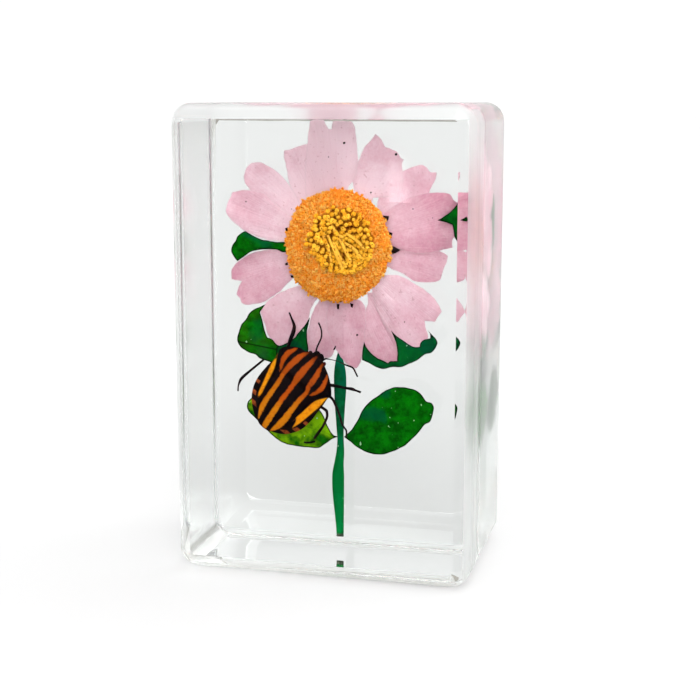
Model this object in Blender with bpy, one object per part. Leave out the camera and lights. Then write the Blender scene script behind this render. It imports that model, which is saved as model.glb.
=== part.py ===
"""A clear cast resin block that stands on its short end.

The block is one solid casting. Its front rim has a flat polished bevel that runs into a round edge,
its back rim has a small round edge, and its four corners are rounded where they run from front to back.
Units are metres, +Z is up and the front face looks along -Y. The origin is the centre of the base.
"""

import math

import bmesh
import bpy

MM = 0.001

BLOCK_WIDTH = 37.3 * MM
BLOCK_DEPTH = 23.6 * MM
BLOCK_HEIGHT = 58.0 * MM
CORNER_RADIUS = 2.5 * MM

BEVEL_WIDTH = 0.95 * MM
BEVEL_ANGLE = math.radians(25.0)
FRONT_EDGE_RADIUS = 1.6 * MM
BACK_EDGE_RADIUS = 0.4 * MM

CORNER_STEPS = 12
FRONT_EDGE_STEPS = 7
BACK_EDGE_STEPS = 5

RESIN_COLOUR = (0.93, 0.95, 0.94, 1.0)
RESIN_ROUGHNESS = 0.02
RESIN_IOR = 1.5
SHARP_ANGLE = math.radians(12.0)


def clear_scene():
    """Remove every object that is already in the scene."""
    for old in list(bpy.data.objects):
        bpy.data.objects.remove(old, do_unlink=True)


def resin_material():
    """Clear, glossy, colourless resin."""
    material = bpy.data.materials.new("clear_resin")
    material.use_nodes = True
    shader = material.node_tree.nodes["Principled BSDF"]
    shader.inputs["Base Color"].default_value = RESIN_COLOUR
    shader.inputs["Roughness"].default_value = RESIN_ROUGHNESS
    shader.inputs["Metallic"].default_value = 0.0
    shader.inputs["IOR"].default_value = RESIN_IOR
    shader.inputs["Transmission Weight"].default_value = 1.0
    return material


def rim_sections():
    """(inset, depth) pairs from the front face to the back face, where inset is from the outer walls."""
    bevel_depth = BEVEL_WIDTH * math.tan(BEVEL_ANGLE)
    round_inset = FRONT_EDGE_RADIUS * (1.0 - math.sin(BEVEL_ANGLE))
    sections = [(round_inset + BEVEL_WIDTH, 0.0)]
    for step in range(FRONT_EDGE_STEPS + 1):
        tilt = BEVEL_ANGLE + (math.pi / 2 - BEVEL_ANGLE) * step / FRONT_EDGE_STEPS
        inset = FRONT_EDGE_RADIUS * (1.0 - math.sin(tilt))
        depth = bevel_depth + FRONT_EDGE_RADIUS * (math.cos(BEVEL_ANGLE) - math.cos(tilt))
        sections.append((inset, depth))
    for step in range(BACK_EDGE_STEPS + 1):
        turn = math.pi / 2 * step / BACK_EDGE_STEPS
        inset = BACK_EDGE_RADIUS * (1.0 - math.cos(turn))
        depth = BLOCK_DEPTH - BACK_EDGE_RADIUS * (1.0 - math.sin(turn))
        sections.append((inset, depth))
    return sections


def outline(inset, depth):
    """Points of one rounded rectangle that lies parallel to the front face."""
    radius = CORNER_RADIUS - inset
    half_width = BLOCK_WIDTH / 2 - CORNER_RADIUS
    half_height = BLOCK_HEIGHT / 2 - CORNER_RADIUS
    centres = ((half_width, half_height), (-half_width, half_height),
               (-half_width, -half_height), (half_width, -half_height))
    points = []
    for quarter, (centre_x, centre_z) in enumerate(centres):
        for step in range(CORNER_STEPS + 1):
            angle = math.pi / 2 * (quarter + step / CORNER_STEPS)
            x = centre_x + radius * math.cos(angle)
            z = BLOCK_HEIGHT / 2 + centre_z + radius * math.sin(angle)
            points.append((x, depth - BLOCK_DEPTH / 2, z))
    return points


def add_ring(mesh, points):
    """Closed ring of edges through the points."""
    verts = [mesh.verts.new(point) for point in points]
    return [mesh.edges.new((a, b)) for a, b in zip(verts, verts[1:] + verts[:1])]


def block_mesh():
    """The whole casting as one closed mesh, bridged from ring to ring and capped at both faces."""
    mesh = bmesh.new()
    rings = [add_ring(mesh, outline(inset, depth)) for inset, depth in rim_sections()]
    for front, back in zip(rings, rings[1:]):
        bmesh.ops.bridge_loops(mesh, edges=front + back)
    for ring in (rings[0], rings[-1]):
        bmesh.ops.contextual_create(mesh, geom=ring)
    bmesh.ops.recalc_face_normals(mesh, faces=mesh.faces)
    data = bpy.data.meshes.new("resin_block")
    mesh.to_mesh(data)
    mesh.free()
    return data


def build_resin_block():
    """The casting, smooth over its round edges and crisp along the bevel."""
    data = block_mesh()
    data.materials.append(resin_material())
    data.shade_smooth()
    data.set_sharp_from_angle(angle=SHARP_ANGLE)
    block = bpy.data.objects.new("resin_block", data)
    bpy.context.scene.collection.objects.link(block)
    return block


clear_scene()
build_resin_block()
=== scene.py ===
"""A striped shield bug resting on a pink daisy, sealed in a clear resin block.

The block is one casting. The daisy, its leaves and the bug are dried pieces that float in it, close to
its back face. Places are read as picture points of the 700 x 700 view and carried, through the resin's
refraction, to a named depth inside the block. Units are metres, +Z is up, the front face looks along -Y.
"""

from __future__ import annotations

import logging
import math
import sys
from collections.abc import Callable, Sequence
from dataclasses import dataclass, field
from enum import Enum

import bmesh
import bpy
import numpy as np
from bmesh.types import BMesh, BMFace, BMLayerItem, BMVert
from bpy.types import Material, Mesh, Node, NodeSocket as Socket, NodeTree, Object
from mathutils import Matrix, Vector, noise
from mathutils.geometry import delaunay_2d_cdt

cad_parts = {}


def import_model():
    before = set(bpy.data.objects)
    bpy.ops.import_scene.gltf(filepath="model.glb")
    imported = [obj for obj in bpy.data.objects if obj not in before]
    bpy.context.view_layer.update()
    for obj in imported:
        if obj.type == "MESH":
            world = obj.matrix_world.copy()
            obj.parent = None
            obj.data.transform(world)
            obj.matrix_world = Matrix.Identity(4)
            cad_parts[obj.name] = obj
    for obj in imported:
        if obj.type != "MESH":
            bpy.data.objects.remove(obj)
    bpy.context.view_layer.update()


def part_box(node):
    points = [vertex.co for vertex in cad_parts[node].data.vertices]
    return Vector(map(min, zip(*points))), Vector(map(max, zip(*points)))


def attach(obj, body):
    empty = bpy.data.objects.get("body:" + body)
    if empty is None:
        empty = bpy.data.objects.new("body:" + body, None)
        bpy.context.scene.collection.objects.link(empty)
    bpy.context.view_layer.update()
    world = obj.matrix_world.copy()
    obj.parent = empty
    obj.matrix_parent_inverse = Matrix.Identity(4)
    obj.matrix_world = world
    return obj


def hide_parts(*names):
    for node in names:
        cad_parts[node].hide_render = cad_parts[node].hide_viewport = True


LOG = logging.getLogger("resin_block")

MM = 0.001
CAST_NODE = "resin_block"
BODY = "root"
RESIN_IOR = 1.5
PICTURE_SIZE = 700
SEED = 7
BUG_SPAN = 1200.0
ON_OUTLINE = 1e-4
WHITE = (1.0, 1.0, 1.0, 1.0)

# A fade is two limits and the results at them. A joint is a picture point with a width and a height.
Spot = tuple[float, float]
Fade = tuple[float, float, float, float]
Joint = tuple[float, float, float, float]
Colour = tuple[float, float, float]
Triple = tuple[float, float, float]
Relief = Callable[[float, float], float]
Vertices = list[BMVert]
Value = Socket | float
Shade = Socket | Colour


class Slot(Enum):
    """Material slots that the record declares."""

    RESIN = "clear_resin"
    PETAL = "petal"
    FLORET = "floret"
    LEAF = "leaf"
    SHELL = "shell"


def flat_relief(_across: float, _down: float) -> float:
    """Height of a sheet that lies flat."""
    return 0.0


def smoothstep(low: float, high: float, value: float) -> float:
    """Smooth rise from 0 at low to 1 at high."""
    share = min(max((value - low) / (high - low), 0.0), 1.0)
    return share * share * (3.0 - 2.0 * share)


def wander(across: float, down: float, size: float, salt: float) -> float:
    """Smooth noise over the picture plane.

    Args:
        across: Picture column.
        down: Picture row.
        size: Width of one swell, in picture pixels.
        salt: Number that picks another pattern.

    Returns:
        A value between about -1 and 1.
    """
    return noise.noise(Vector((across / size, down / size, salt)))


# ---------- Camera and the way from picture to block ----------


@dataclass(frozen=True)
class Eye:
    """The camera, and the refracted way from its picture into the resin."""

    place: Triple = (0.04428, -0.16880, 0.05882)
    yaw: float = math.radians(14.377)
    pitch: float = math.radians(10.407)
    lens_mm: float = 71.16
    sensor_mm: float = 36.0
    front_face: float = -11.8 * MM

    def axes(self) -> tuple[Vector, Vector, Vector]:
        """Right, up and forward axes of the camera."""
        level = math.cos(self.pitch)
        forward = Vector((-math.sin(self.yaw) * level, math.cos(self.yaw) * level, -math.sin(self.pitch)))
        right = forward.cross(Vector((0.0, 0.0, 1.0))).normalized()
        return right, right.cross(forward), forward

    def ray(self, across: float, down: float) -> tuple[Vector, Vector]:
        """Where a picture point's ray enters the front face, and its heading inside the resin.

        Args:
            across: Picture column.
            down: Picture row.

        Returns:
            The point on the front face and the unit heading after refraction.
        """
        right, up, forward = self.axes()
        focal = self.lens_mm / self.sensor_mm * PICTURE_SIZE
        half = PICTURE_SIZE / 2
        heading = forward * focal + right * (across - half) + up * (half - down)
        heading.normalize()
        start = Vector(self.place)
        entry = start + heading * ((self.front_face - start.y) / heading.y)
        bent_x = heading.x / RESIN_IOR
        bent_z = heading.z / RESIN_IOR
        bent_y = math.sqrt(1.0 - bent_x * bent_x - bent_z * bent_z)
        return entry, Vector((bent_x, bent_y, bent_z))

    def point(self, across: float, down: float, depth: float, height: float = 0.0) -> Vector:
        """A picture point carried to a depth in the block.

        Args:
            across: Picture column.
            down: Picture row.
            depth: The y of the plane that it lies on, in metres.
            height: How far it stands out of that plane towards the viewer, in metres.

        Returns:
            The point in block coordinates.
        """
        entry, heading = self.ray(across, down)
        return entry + heading * ((depth - entry.y) / heading.y) - heading * height

    def scale(self, depth: float) -> float:
        """Metres that one picture pixel in the middle of the picture spans at a depth."""
        half = PICTURE_SIZE / 2
        return (self.point(half + 1, half, depth) - self.point(half, half, depth)).length

    def build(self) -> None:
        """Make the scene's camera."""
        data = bpy.data.cameras.new("picture_camera")
        data.lens = self.lens_mm
        data.sensor_width = self.sensor_mm
        data.clip_start = 0.01
        camera = bpy.data.objects.new("picture_camera", data)
        camera.location = self.place
        camera.rotation_euler = (math.pi / 2 - self.pitch, 0.0, self.yaw)
        bpy.context.collection.objects.link(camera)
        bpy.context.scene.camera = camera


EYE = Eye()


# ---------- Outlines and meshes ----------


def curved(spots: Sequence[Spot], closed: bool, step: float = 1.6) -> np.ndarray:
    """A smooth line through a few points, which keeps its sharp corners.

    Args:
        spots: The points that shape it.
        closed: Whether the last point joins the first.
        step: Distance between the points that come back.

    Returns:
        An array of points, one row each.
    """
    points = np.array(spots, dtype=float)
    count = len(points)
    before = np.roll(points, 1, axis=0)
    after = np.roll(points, -1, axis=0)
    if not closed:
        before[0] = 2 * points[0] - points[1]
        after[-1] = 2 * points[-1] - points[-2]
    incoming = points - before
    outgoing = after - points
    lengths = np.linalg.norm(incoming, axis=1) * np.linalg.norm(outgoing, axis=1)
    bend = (incoming * outgoing).sum(axis=1) / np.maximum(lengths, 1e-9)
    tangent = (after - before) / 2 * np.clip((bend - 0.35) * 1.9, 0.0, 1.0)[:, None]
    rows = []
    for index in range(count if closed else count - 1):
        follower = (index + 1) % count
        run = np.linalg.norm(points[follower] - points[index])
        steps = max(1, round(run / step))
        limit = run / max(np.linalg.norm(tangent[index]), np.linalg.norm(tangent[follower]), run)
        for turn in range(steps):
            t = turn / steps
            rows.append(
                (2 * t**3 - 3 * t**2 + 1) * points[index]
                + (t**3 - 2 * t**2 + t) * tangent[index] * limit
                + (3 * t**2 - 2 * t**3) * points[follower]
                + (t**3 - t**2) * tangent[follower] * limit
            )
    if not closed:
        rows.append(points[-1])
    return np.array(rows)


def distance_to_line(points: np.ndarray, line: np.ndarray, closed: bool) -> np.ndarray:
    """Distance from each point to a line of short segments.

    Args:
        points: Points, one row each.
        line: The line's points, one row each.
        closed: Whether the last point joins the first.

    Returns:
        One distance for each point.
    """
    start = line if closed else line[:-1]
    end = np.roll(line, -1, axis=0) if closed else line[1:]
    span = end - start
    square = np.maximum((span * span).sum(axis=1), 1e-12)
    offset = points[:, None, :] - start[None, :, :]
    share = np.clip((offset * span[None]).sum(axis=2) / square[None], 0.0, 1.0)
    gap = offset - share[..., None] * span[None]
    return np.sqrt((gap * gap).sum(axis=2)).min(axis=1)


def inside(points: np.ndarray, line: np.ndarray) -> np.ndarray:
    """Which points lie inside a closed line.

    Args:
        points: Points, one row each.
        line: The closed line's points.

    Returns:
        One truth value for each point.
    """
    end = np.roll(line, -1, axis=0)
    found = np.zeros(len(points), dtype=bool)
    for (x0, y0), (x1, y1) in zip(line, end):
        crosses = (y0 > points[:, 1]) != (y1 > points[:, 1])
        reach = x0 + (points[:, 1] - y0) * (x1 - x0) / (y1 - y0 if y1 != y0 else 1e-12)
        found ^= crosses & (points[:, 0] < reach)
    return found


def filled(line: np.ndarray, spacing: float) -> tuple[np.ndarray, list[list[int]]]:
    """Even triangles that fill a closed line.

    Args:
        line: The closed line's points.
        spacing: Distance between the points inside.

    Returns:
        The points and the triangles' corners.
    """
    low = line.min(axis=0)
    high = line.max(axis=0)
    rows = []
    pitch = spacing * math.sqrt(3) / 2
    for row in range(int((high[1] - low[1]) / pitch) + 2):
        start = low[0] + (spacing / 2 if row % 2 else 0.0)
        for column in range(int((high[0] - low[0]) / spacing) + 2):
            rows.append((start + column * spacing, low[1] + row * pitch))
    grid = np.array(rows)
    grid = grid[inside(grid, line)]
    if len(grid):
        grid = grid[distance_to_line(grid, line, True) > spacing * 0.55]
    points = np.vstack([line, grid]) if len(grid) else line
    vectors = [Vector(point) for point in points]
    outline = list(range(len(line)))
    made = delaunay_2d_cdt(vectors, [], [outline], 1, 1e-6)
    return np.array([tuple(point) for point in made[0]]), [list(face) for face in made[2]]


def linked(name: str, data: Mesh) -> Object:
    """A new object of the scene."""
    made = bpy.data.objects.new(name, data)
    bpy.context.collection.objects.link(made)
    return made


def finished_object(name: str, mesh: Mesh, material: Material) -> Object:
    """Link a mesh as a finished piece of the block.

    Args:
        name: The piece's name.
        mesh: Its mesh, already in place.
        material: Its finish.

    Returns:
        The new object.
    """
    piece = linked(name, mesh)
    mesh.materials.clear()
    mesh.materials.append(material)
    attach(piece, BODY)
    LOG.info("%s: %d faces", name, len(mesh.polygons))
    return piece


def mesh_from(bm: BMesh, name: str, rim_angle: float = 0.0) -> Mesh:
    """Turn a bmesh into a smooth mesh with its faces outwards, and free it.

    Args:
        bm: The bmesh.
        name: The mesh's name.
        rim_angle: Edges that turn by more degrees than this stay sharp, 0 for none.

    Returns:
        The mesh.
    """
    bmesh.ops.recalc_face_normals(bm, faces=bm.faces)
    for face in bm.faces:
        face.smooth = True
    mesh = bpy.data.meshes.new(name)
    bm.to_mesh(mesh)
    bm.free()
    if rim_angle:
        mesh.set_sharp_from_angle(angle=math.radians(rim_angle))
    return mesh


def vertex_layer(bm: BMesh, name: str) -> BMLayerItem:
    """A number that a bmesh carries at each vertex, made if it isn't there yet."""
    layers = bm.verts.layers.float
    return layers.get(name) or layers.new(name)


def grain_layer(bm: BMesh) -> BMLayerItem:
    """The grain coordinates of a bmesh, made if they aren't there yet."""
    layers = bm.loops.layers.uv
    return layers.get("grain") or layers.new("grain")


def add_walls(bm: BMesh, rings: Sequence[Vertices]) -> list[list[BMFace]]:
    """Join rings of vertices into an open tube.

    Args:
        bm: The bmesh that the rings are in.
        rings: The rings, from the tube's start to its end.

    Returns:
        The faces between each two rings, in the order of the rings' vertices.
    """
    stretches = []
    for near, far in zip(rings, rings[1:]):
        sides = zip(near, near[1:] + near[:1], far[1:] + far[:1], far)
        stretches.append([bm.faces.new(corners) for corners in sides])
    return stretches


@dataclass
class Pillow:
    """A thin closed sheet with rounded edges, cut to an outline in the picture.

    Its front and back meet at the outline. Heights are in metres, other sizes in picture pixels.
    """

    spots: Sequence[Spot]
    depth: float
    front: float
    back: float
    edge: float = 3.0
    spacing: float = 2.2
    relief: Relief = flat_relief
    grain: Callable[[float, float], Spot] = lambda across, down: (across, down)
    ragged: float = 0.0
    salt: float = 0.0
    tint: float = 0.0
    sharp_degrees: float = 32.0

    def outline(self) -> np.ndarray:
        """The outline with its fine unevenness.

        Returns:
            Its points, one row each.
        """
        line = curved(self.spots, True)
        if self.ragged:
            for row in line:
                across, down = row
                row[0] += self.ragged * wander(across, down, 5.0, self.salt)
                row[1] += self.ragged * wander(across, down, 5.0, self.salt + 9.0)
        return line

    def add_spots(self, bm: BMesh, points: np.ndarray, rims: np.ndarray) -> tuple[Vertices, Vertices]:
        """Add the vertices of the sheet's front and back, which share those on the outline.

        Args:
            bm: The bmesh that they are added to.
            points: Their places in the picture.
            rims: Their distances from the outline.

        Returns:
            The vertices of the front and those of the back, in the order of the points.
        """
        rim_layer = vertex_layer(bm, "rim")
        tint_layer = vertex_layer(bm, "tint")
        fronts = []
        backs = []
        for (across, down), rim in zip(points, rims):
            crown = math.sin(min(rim / self.edge, 1.0) * math.pi / 2)
            lift = self.relief(across, down)
            heights = [self.front * crown, -self.back * crown]
            if rim < ON_OUTLINE:
                heights.pop()
            made = []
            for height in heights:
                spot = bm.verts.new(EYE.point(across, down, self.depth, lift + height))
                spot[rim_layer] = rim
                spot[tint_layer] = self.tint
                made.append(spot)
            fronts.append(made[0])
            backs.append(made[-1])
        return fronts, backs

    def add_to(self, bm: BMesh) -> None:
        """Add the sheet to a bmesh, with its rim distance, its tint and its grain coordinates.

        Args:
            bm: The bmesh that it is added to.
        """
        grain = grain_layer(bm)
        line = self.outline()
        points, triangles = filled(line, self.spacing)
        fronts, backs = self.add_spots(bm, points, distance_to_line(points, line, True))
        for corners in triangles:
            sides = [(fronts, corners)]
            if any(backs[corner] is not fronts[corner] for corner in corners):
                sides.append((backs, corners[::-1]))
            for spots, order in sides:
                face = bm.faces.new([spots[corner] for corner in order])
                for loop, corner in zip(face.loops, order):
                    loop[grain].uv = self.grain(*points[corner])

    def mesh(self, name: str) -> Mesh:
        """The sheet as a mesh of its own."""
        bm = bmesh.new()
        self.add_to(bm)
        return mesh_from(bm, name, self.sharp_degrees)


@dataclass
class Stalk:
    """A closed round or flattened tube along picture points, with a width at each.

    Each point is (across, down, width, height): picture pixels, then metres towards the viewer.
    """

    points: Sequence[Joint]
    depth: float
    flatness: float = 1.0
    sides: int = 8
    step: float = 1.5
    least_width: float = 0.3

    def add_rings(self, bm: BMesh, rows: np.ndarray, centres: list[Vector]) -> list[Vertices]:
        """Add a ring of vertices round each point of the tube's middle line.

        Args:
            bm: The bmesh that they are added to.
            rows: The middle line's points with their widths.
            centres: The same points in block coordinates.

        Returns:
            The rings, from the tube's start to its end.
        """
        rim_layer = vertex_layer(bm, "rim")
        painted_shade_layer = vertex_layer(bm, "hollow")
        scale = EYE.scale(self.depth)
        rings = []
        for index, centre in enumerate(centres):
            ahead = centres[min(index + 1, len(centres) - 1)]
            behind = centres[max(index - 1, 0)]
            along = (ahead - behind).normalized()
            across = along.cross(Vector((0.0, 1.0, 0.0))).normalized()
            out = across.cross(along).normalized()
            width = rows[index][2]
            radius = max(width, self.least_width) * scale / 2
            ring = []
            for side in range(self.sides):
                turn = 2 * math.pi * side / self.sides
                offset = across * math.cos(turn) + out * (math.sin(turn) * self.flatness)
                spot = bm.verts.new(centre + offset * radius)
                spot[rim_layer] = width / 2 * (0.35 + 0.65 * abs(math.sin(turn)))
                # painted shade: full on the tube's flanks and back, none on its front crest; only the matted
                # strands' finish reads it
                spot[painted_shade_layer] = 1.0 - smoothstep(-0.1, 0.75, -offset.dot(out))
                ring.append(spot)
            rings.append(ring)
        return rings

    def add_to(self, bm: BMesh) -> None:
        """Add the tube to a bmesh, with its turn and its length in millimetres as grain coordinates.

        Args:
            bm: The bmesh that it is added to.
        """
        grain = grain_layer(bm)
        rows = curved(self.points, False, self.step)
        centres = [EYE.point(row[0], row[1], self.depth, row[3]) for row in rows]
        rings = self.add_rings(bm, rows, centres)
        length = 0.0
        for stretch, start, end in zip(add_walls(bm, rings), centres, centres[1:]):
            reach = length + (end - start).length / MM
            reaches = (length, length, reach, reach)
            for side, face in enumerate(stretch):
                turns = (side, side + 1, side + 1, side)
                for loop, turn, far in zip(face.loops, turns, reaches):
                    loop[grain].uv = (turn / self.sides, far)
            length = reach
        bm.faces.new(rings[0][::-1])
        bm.faces.new(rings[-1])


# ---------- Finishes ----------


def add_node(tree: NodeTree, kind: str, values: dict, **settings: object) -> Node:
    """Add a node to a tree.

    Args:
        tree: The node tree.
        kind: Blender's name of the node type.
        values: Socket names or numbers, with a socket to link or a value to set.
        settings: Properties of the node itself.

    Returns:
        The new node.
    """
    made = tree.nodes.new(kind)
    for key, value in settings.items():
        setattr(made, key, value)
    for key, value in values.items():
        if isinstance(value, Socket):
            tree.links.new(value, made.inputs[key])
        else:
            made.inputs[key].default_value = value
    return made


@dataclass(frozen=True)
class Mottle:
    """A layer of noise, and the fade that turns its height into a share."""

    scale: float
    fade: Fade
    detail: float = 3.0
    roughness: float = 0.55


class NodeGraph:
    """A node tree of a material or a world, built one node at a time."""

    def __init__(self, name: str, world: bool = False) -> None:
        """Start an empty material or world.

        Args:
            name: Its name.
            world: Whether it is a world.
        """
        blocks = bpy.data.worlds if world else bpy.data.materials
        self.block = blocks.new(name)
        self.block.use_nodes = True
        self.tree = self.block.node_tree
        self.tree.nodes.clear()
        self.place = self.node("ShaderNodeTexCoord").outputs["Generated" if world else "Object"]

    def node(self, kind: str, values: dict | None = None, **settings: object) -> Node:
        """Add a node, with values for its sockets and settings of its own."""
        return add_node(self.tree, kind, values or {}, **settings)

    def noise(
        self, scale: float, detail: float = 3.0, roughness: float = 0.55, where: Socket | None = None
    ) -> Socket:
        """Noise from 0 to 1, on the piece's own place unless where is given."""
        values = {"Vector": where or self.place, "Scale": scale, "Detail": detail, "Roughness": roughness}
        return self.node("ShaderNodeTexNoise", values).outputs["Fac"]

    def ramp(
        self, value: Value, low: float, high: float, from_value: float = 0.0, to_value: float = 1.0
    ) -> Socket:
        """Smooth change from one result to another, while a value goes from low to high."""
        values = {"Value": value, "From Min": low, "From Max": high, "To Min": from_value, "To Max": to_value}
        return self.node("ShaderNodeMapRange", values, interpolation_type="SMOOTHSTEP").outputs[0]

    def inside(self, place: Value, face: float, limits: Spot, ends: Spot = (0.0, 1.0)) -> Socket:
        """Smooth change between two distances inside a face."""
        return self.ramp(place, face - limits[0], face - limits[1], *ends)

    def mottle(self, layer: Mottle) -> Socket:
        """A layer of noise as a share."""
        return self.ramp(self.noise(layer.scale, layer.detail, layer.roughness), *layer.fade)

    def maths(self, operation: str, first: Value, second: Value = 0.0) -> Socket:
        """One sum on two values."""
        return self.node("ShaderNodeMath", {0: first, 1: second}, operation=operation).outputs[0]

    def chained(self, operation: str, first: Value, *others: Value) -> Value:
        """The same sum on a row of values, from left to right."""
        made = first
        for other in others:
            made = self.maths(operation, made, other)
        return made

    def product(self, *values: Value) -> Value:
        """The product of some values."""
        return self.chained("MULTIPLY", *values)

    def highest(self, *values: Value) -> Value:
        """The highest of some values."""
        return self.chained("MAXIMUM", *values)

    def off(self, value: Value, middle: Value) -> Socket:
        """How far a value lies from a middle."""
        return self.maths("ABSOLUTE", self.maths("SUBTRACT", value, middle))

    def blend(self, first: Shade, second: Shade, share: Value) -> Socket:
        """Mix of two colours.

        Args:
            first: The colour at share 0.
            second: The colour at share 1.
            share: How far it has gone to the second.

        Returns:
            The mixed colour.
        """
        made = self.node("ShaderNodeMix", {"Factor": share}, data_type="RGBA")
        for index, value in ((6, first), (7, second)):
            if isinstance(value, Socket):
                self.tree.links.new(value, made.inputs[index])
            else:
                made.inputs[index].default_value = (*value, 1.0)
        return made.outputs[2]

    def attribute(self, name: str) -> Socket:
        """A number that the mesh carries at each point."""
        return self.node("ShaderNodeAttribute", attribute_name=name).outputs["Fac"]

    def grain(self) -> tuple[Socket, Socket]:
        """The two grain coordinates that the mesh carries."""
        made = self.node("ShaderNodeUVMap", uv_map="grain")
        split = self.node("ShaderNodeSeparateXYZ", {0: made.outputs[0]})
        return split.outputs[0], split.outputs[1]

    def joined(self, first: Value, second: Value) -> Socket:
        """A flat vector from two numbers."""
        return self.node("ShaderNodeCombineXYZ", {0: first, 1: second}).outputs[0]

    def bump(self, height: Value, strength: float, distance: float) -> Socket:
        """A bumped normal."""
        values = {"Height": height, "Strength": strength, "Distance": distance}
        return self.node("ShaderNodeBump", values).outputs[0]

    def pits(self, scale: float = 5200.0, strength: float = 0.35, depth: float = 0.08 * MM) -> Socket:
        """A normal with the fine pits of insect cuticle."""
        dots = self.node("ShaderNodeTexVoronoi", {"Vector": self.place, "Scale": scale}).outputs[0]
        return self.bump(dots, strength, depth)

    def opaque(self, colour: Socket, roughness: float, normal: Socket, shine: float = 0.0) -> Socket:
        """An opaque surface, dull by its roughness and mirroring by its shine."""
        values = {"Base Color": colour, "Roughness": roughness, "Specular IOR Level": shine, "Normal": normal}
        return self.node("ShaderNodeBsdfPrincipled", values).outputs[0]

    def papery(self, colour: Socket, roughness: float, normal: Socket, thinness: float) -> Socket:
        """A thin surface that a share of the light, its thinness, comes through."""
        body = self.opaque(colour, roughness, normal)
        glow = self.node("ShaderNodeBsdfTranslucent", {"Color": colour, "Normal": normal}).outputs[0]
        return self.node("ShaderNodeMixShader", {0: thinness, 1: body, 2: glow}).outputs[0]

    def finish(self, surface: Socket, volume: Socket | None = None) -> Material:
        """Link the surface, and a volume if there is one, to the output."""
        output = self.node("ShaderNodeOutputMaterial")
        self.tree.links.new(surface, output.inputs["Surface"])
        if volume is not None:
            self.tree.links.new(volume, output.inputs["Volume"])
        return self.block


@dataclass(frozen=True)
class ResinFinish:
    """Clear cast resin: polished faces, duller sanded edges, a trace of grey in its depth.

    Each pair of limits is a distance inside a face, where a change starts and where it ends.
    """

    absorbed: Colour = (0.55, 0.60, 0.575)
    density: float = 16.0
    half_width: float = 18.65 * MM
    height: float = 58.0 * MM
    back_face: float = 11.8 * MM
    rounds: Spot = (0.80 * MM, 0.72 * MM)
    round_dullness: float = 0.26
    base_clear: Spot = (0.02 * MM, 0.08 * MM)
    foot_dullness: float = 0.55
    back_round: Spot = (0.45 * MM, 0.40 * MM)
    back_flat: Spot = (0.06 * MM, 0.02 * MM)
    back_dullness: float = 0.42
    nose_reach: float = 4.2 * MM
    nose_fade: float = 1.9
    nose_dullness: float = 0.68
    wall_dullness: float = 0.19
    lintel_drop: Spot = (1.87 * MM, 1.80 * MM)
    lintel_depth: Spot = (2.0 * MM, 2.2 * MM)
    lintel_dullness: float = 0.30
    wall_skin: Spot = (0.15 * MM, 0.05 * MM)
    stroke_scale: float = 260.0
    stroke_stretch: float = 0.05
    stroke_height: float = 30.0
    swell_scale: float = 110.0

    def dullness(self, graph: NodeGraph, places: Sequence[Socket]) -> Value:
        """How dull each place on the surface is.

        Args:
            graph: The material's graph.
            places: The place's x, y and z.

        Returns:
            The roughness.
        """
        sideways, backward, upward = places
        far, close = self.rounds
        by_side = graph.inside(graph.maths("ABSOLUTE", sideways), self.half_width, self.rounds)
        by_top = graph.inside(upward, self.height, self.rounds)
        by_foot = graph.ramp(upward, close, far, 1.0, 0.0)
        rounds = graph.product(graph.highest(by_side, by_top), self.round_dullness)
        foot = graph.product(by_foot, graph.ramp(upward, *self.base_clear), self.foot_dullness)
        back = graph.product(
            graph.inside(backward, self.back_face, self.back_round),
            graph.highest(by_side, by_foot),
            graph.inside(backward, self.back_face, self.back_flat, (self.back_dullness, 0.0)),
        )
        nose = graph.ramp(
            backward,
            self.nose_reach - self.back_face,
            self.nose_reach * self.nose_fade - self.back_face,
            self.nose_dullness,
            self.wall_dullness,
        )
        right = graph.product(graph.inside(sideways, self.half_width, self.rounds), nose)
        low, high = self.lintel_depth
        lintel = graph.product(
            graph.inside(upward, self.height, self.lintel_drop, (0.0, self.lintel_dullness)),
            graph.ramp(backward, low - self.back_face, high - self.back_face, 1.0, 0.0),
        )
        return graph.highest(rounds, foot, back, right, lintel)

    def strokes(self, graph: NodeGraph, places: Sequence[Socket]) -> Value:
        """Height of the upright polishing strokes on the right wall.

        Args:
            graph: The material's graph.
            places: The place's x, y and z.

        Returns:
            The height.
        """
        sideways, backward, upward = places
        across = graph.product(backward, self.stroke_scale)
        along = graph.product(upward, self.stroke_scale * self.stroke_stretch)
        height = graph.product(graph.inside(sideways, self.half_width, self.wall_skin), self.stroke_height)
        return graph.product(graph.noise(1.0, 1.0, 0.4, graph.joined(across, along)), height)

    def build(self) -> Material:
        """Make the material.

        Returns:
            The material.
        """
        graph = NodeGraph("clear_cast_resin")
        places = graph.node("ShaderNodeSeparateXYZ", {0: graph.place}).outputs
        swells = graph.maths("ADD", graph.noise(self.swell_scale, 1.0), self.strokes(graph, places))
        values = {
            "Base Color": WHITE,
            "Roughness": self.dullness(graph, places),
            "IOR": RESIN_IOR,
            "Transmission Weight": 1.0,
            "Normal": graph.bump(swells, 0.05, 0.2 * MM),
        }
        shader = graph.node("ShaderNodeBsdfPrincipled", values)
        depth = {"Color": (*self.absorbed, 1.0), "Density": self.density}
        volume = graph.node("ShaderNodeVolumeAbsorption", depth)
        return graph.finish(shader.outputs[0], volume.outputs[0])


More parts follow.
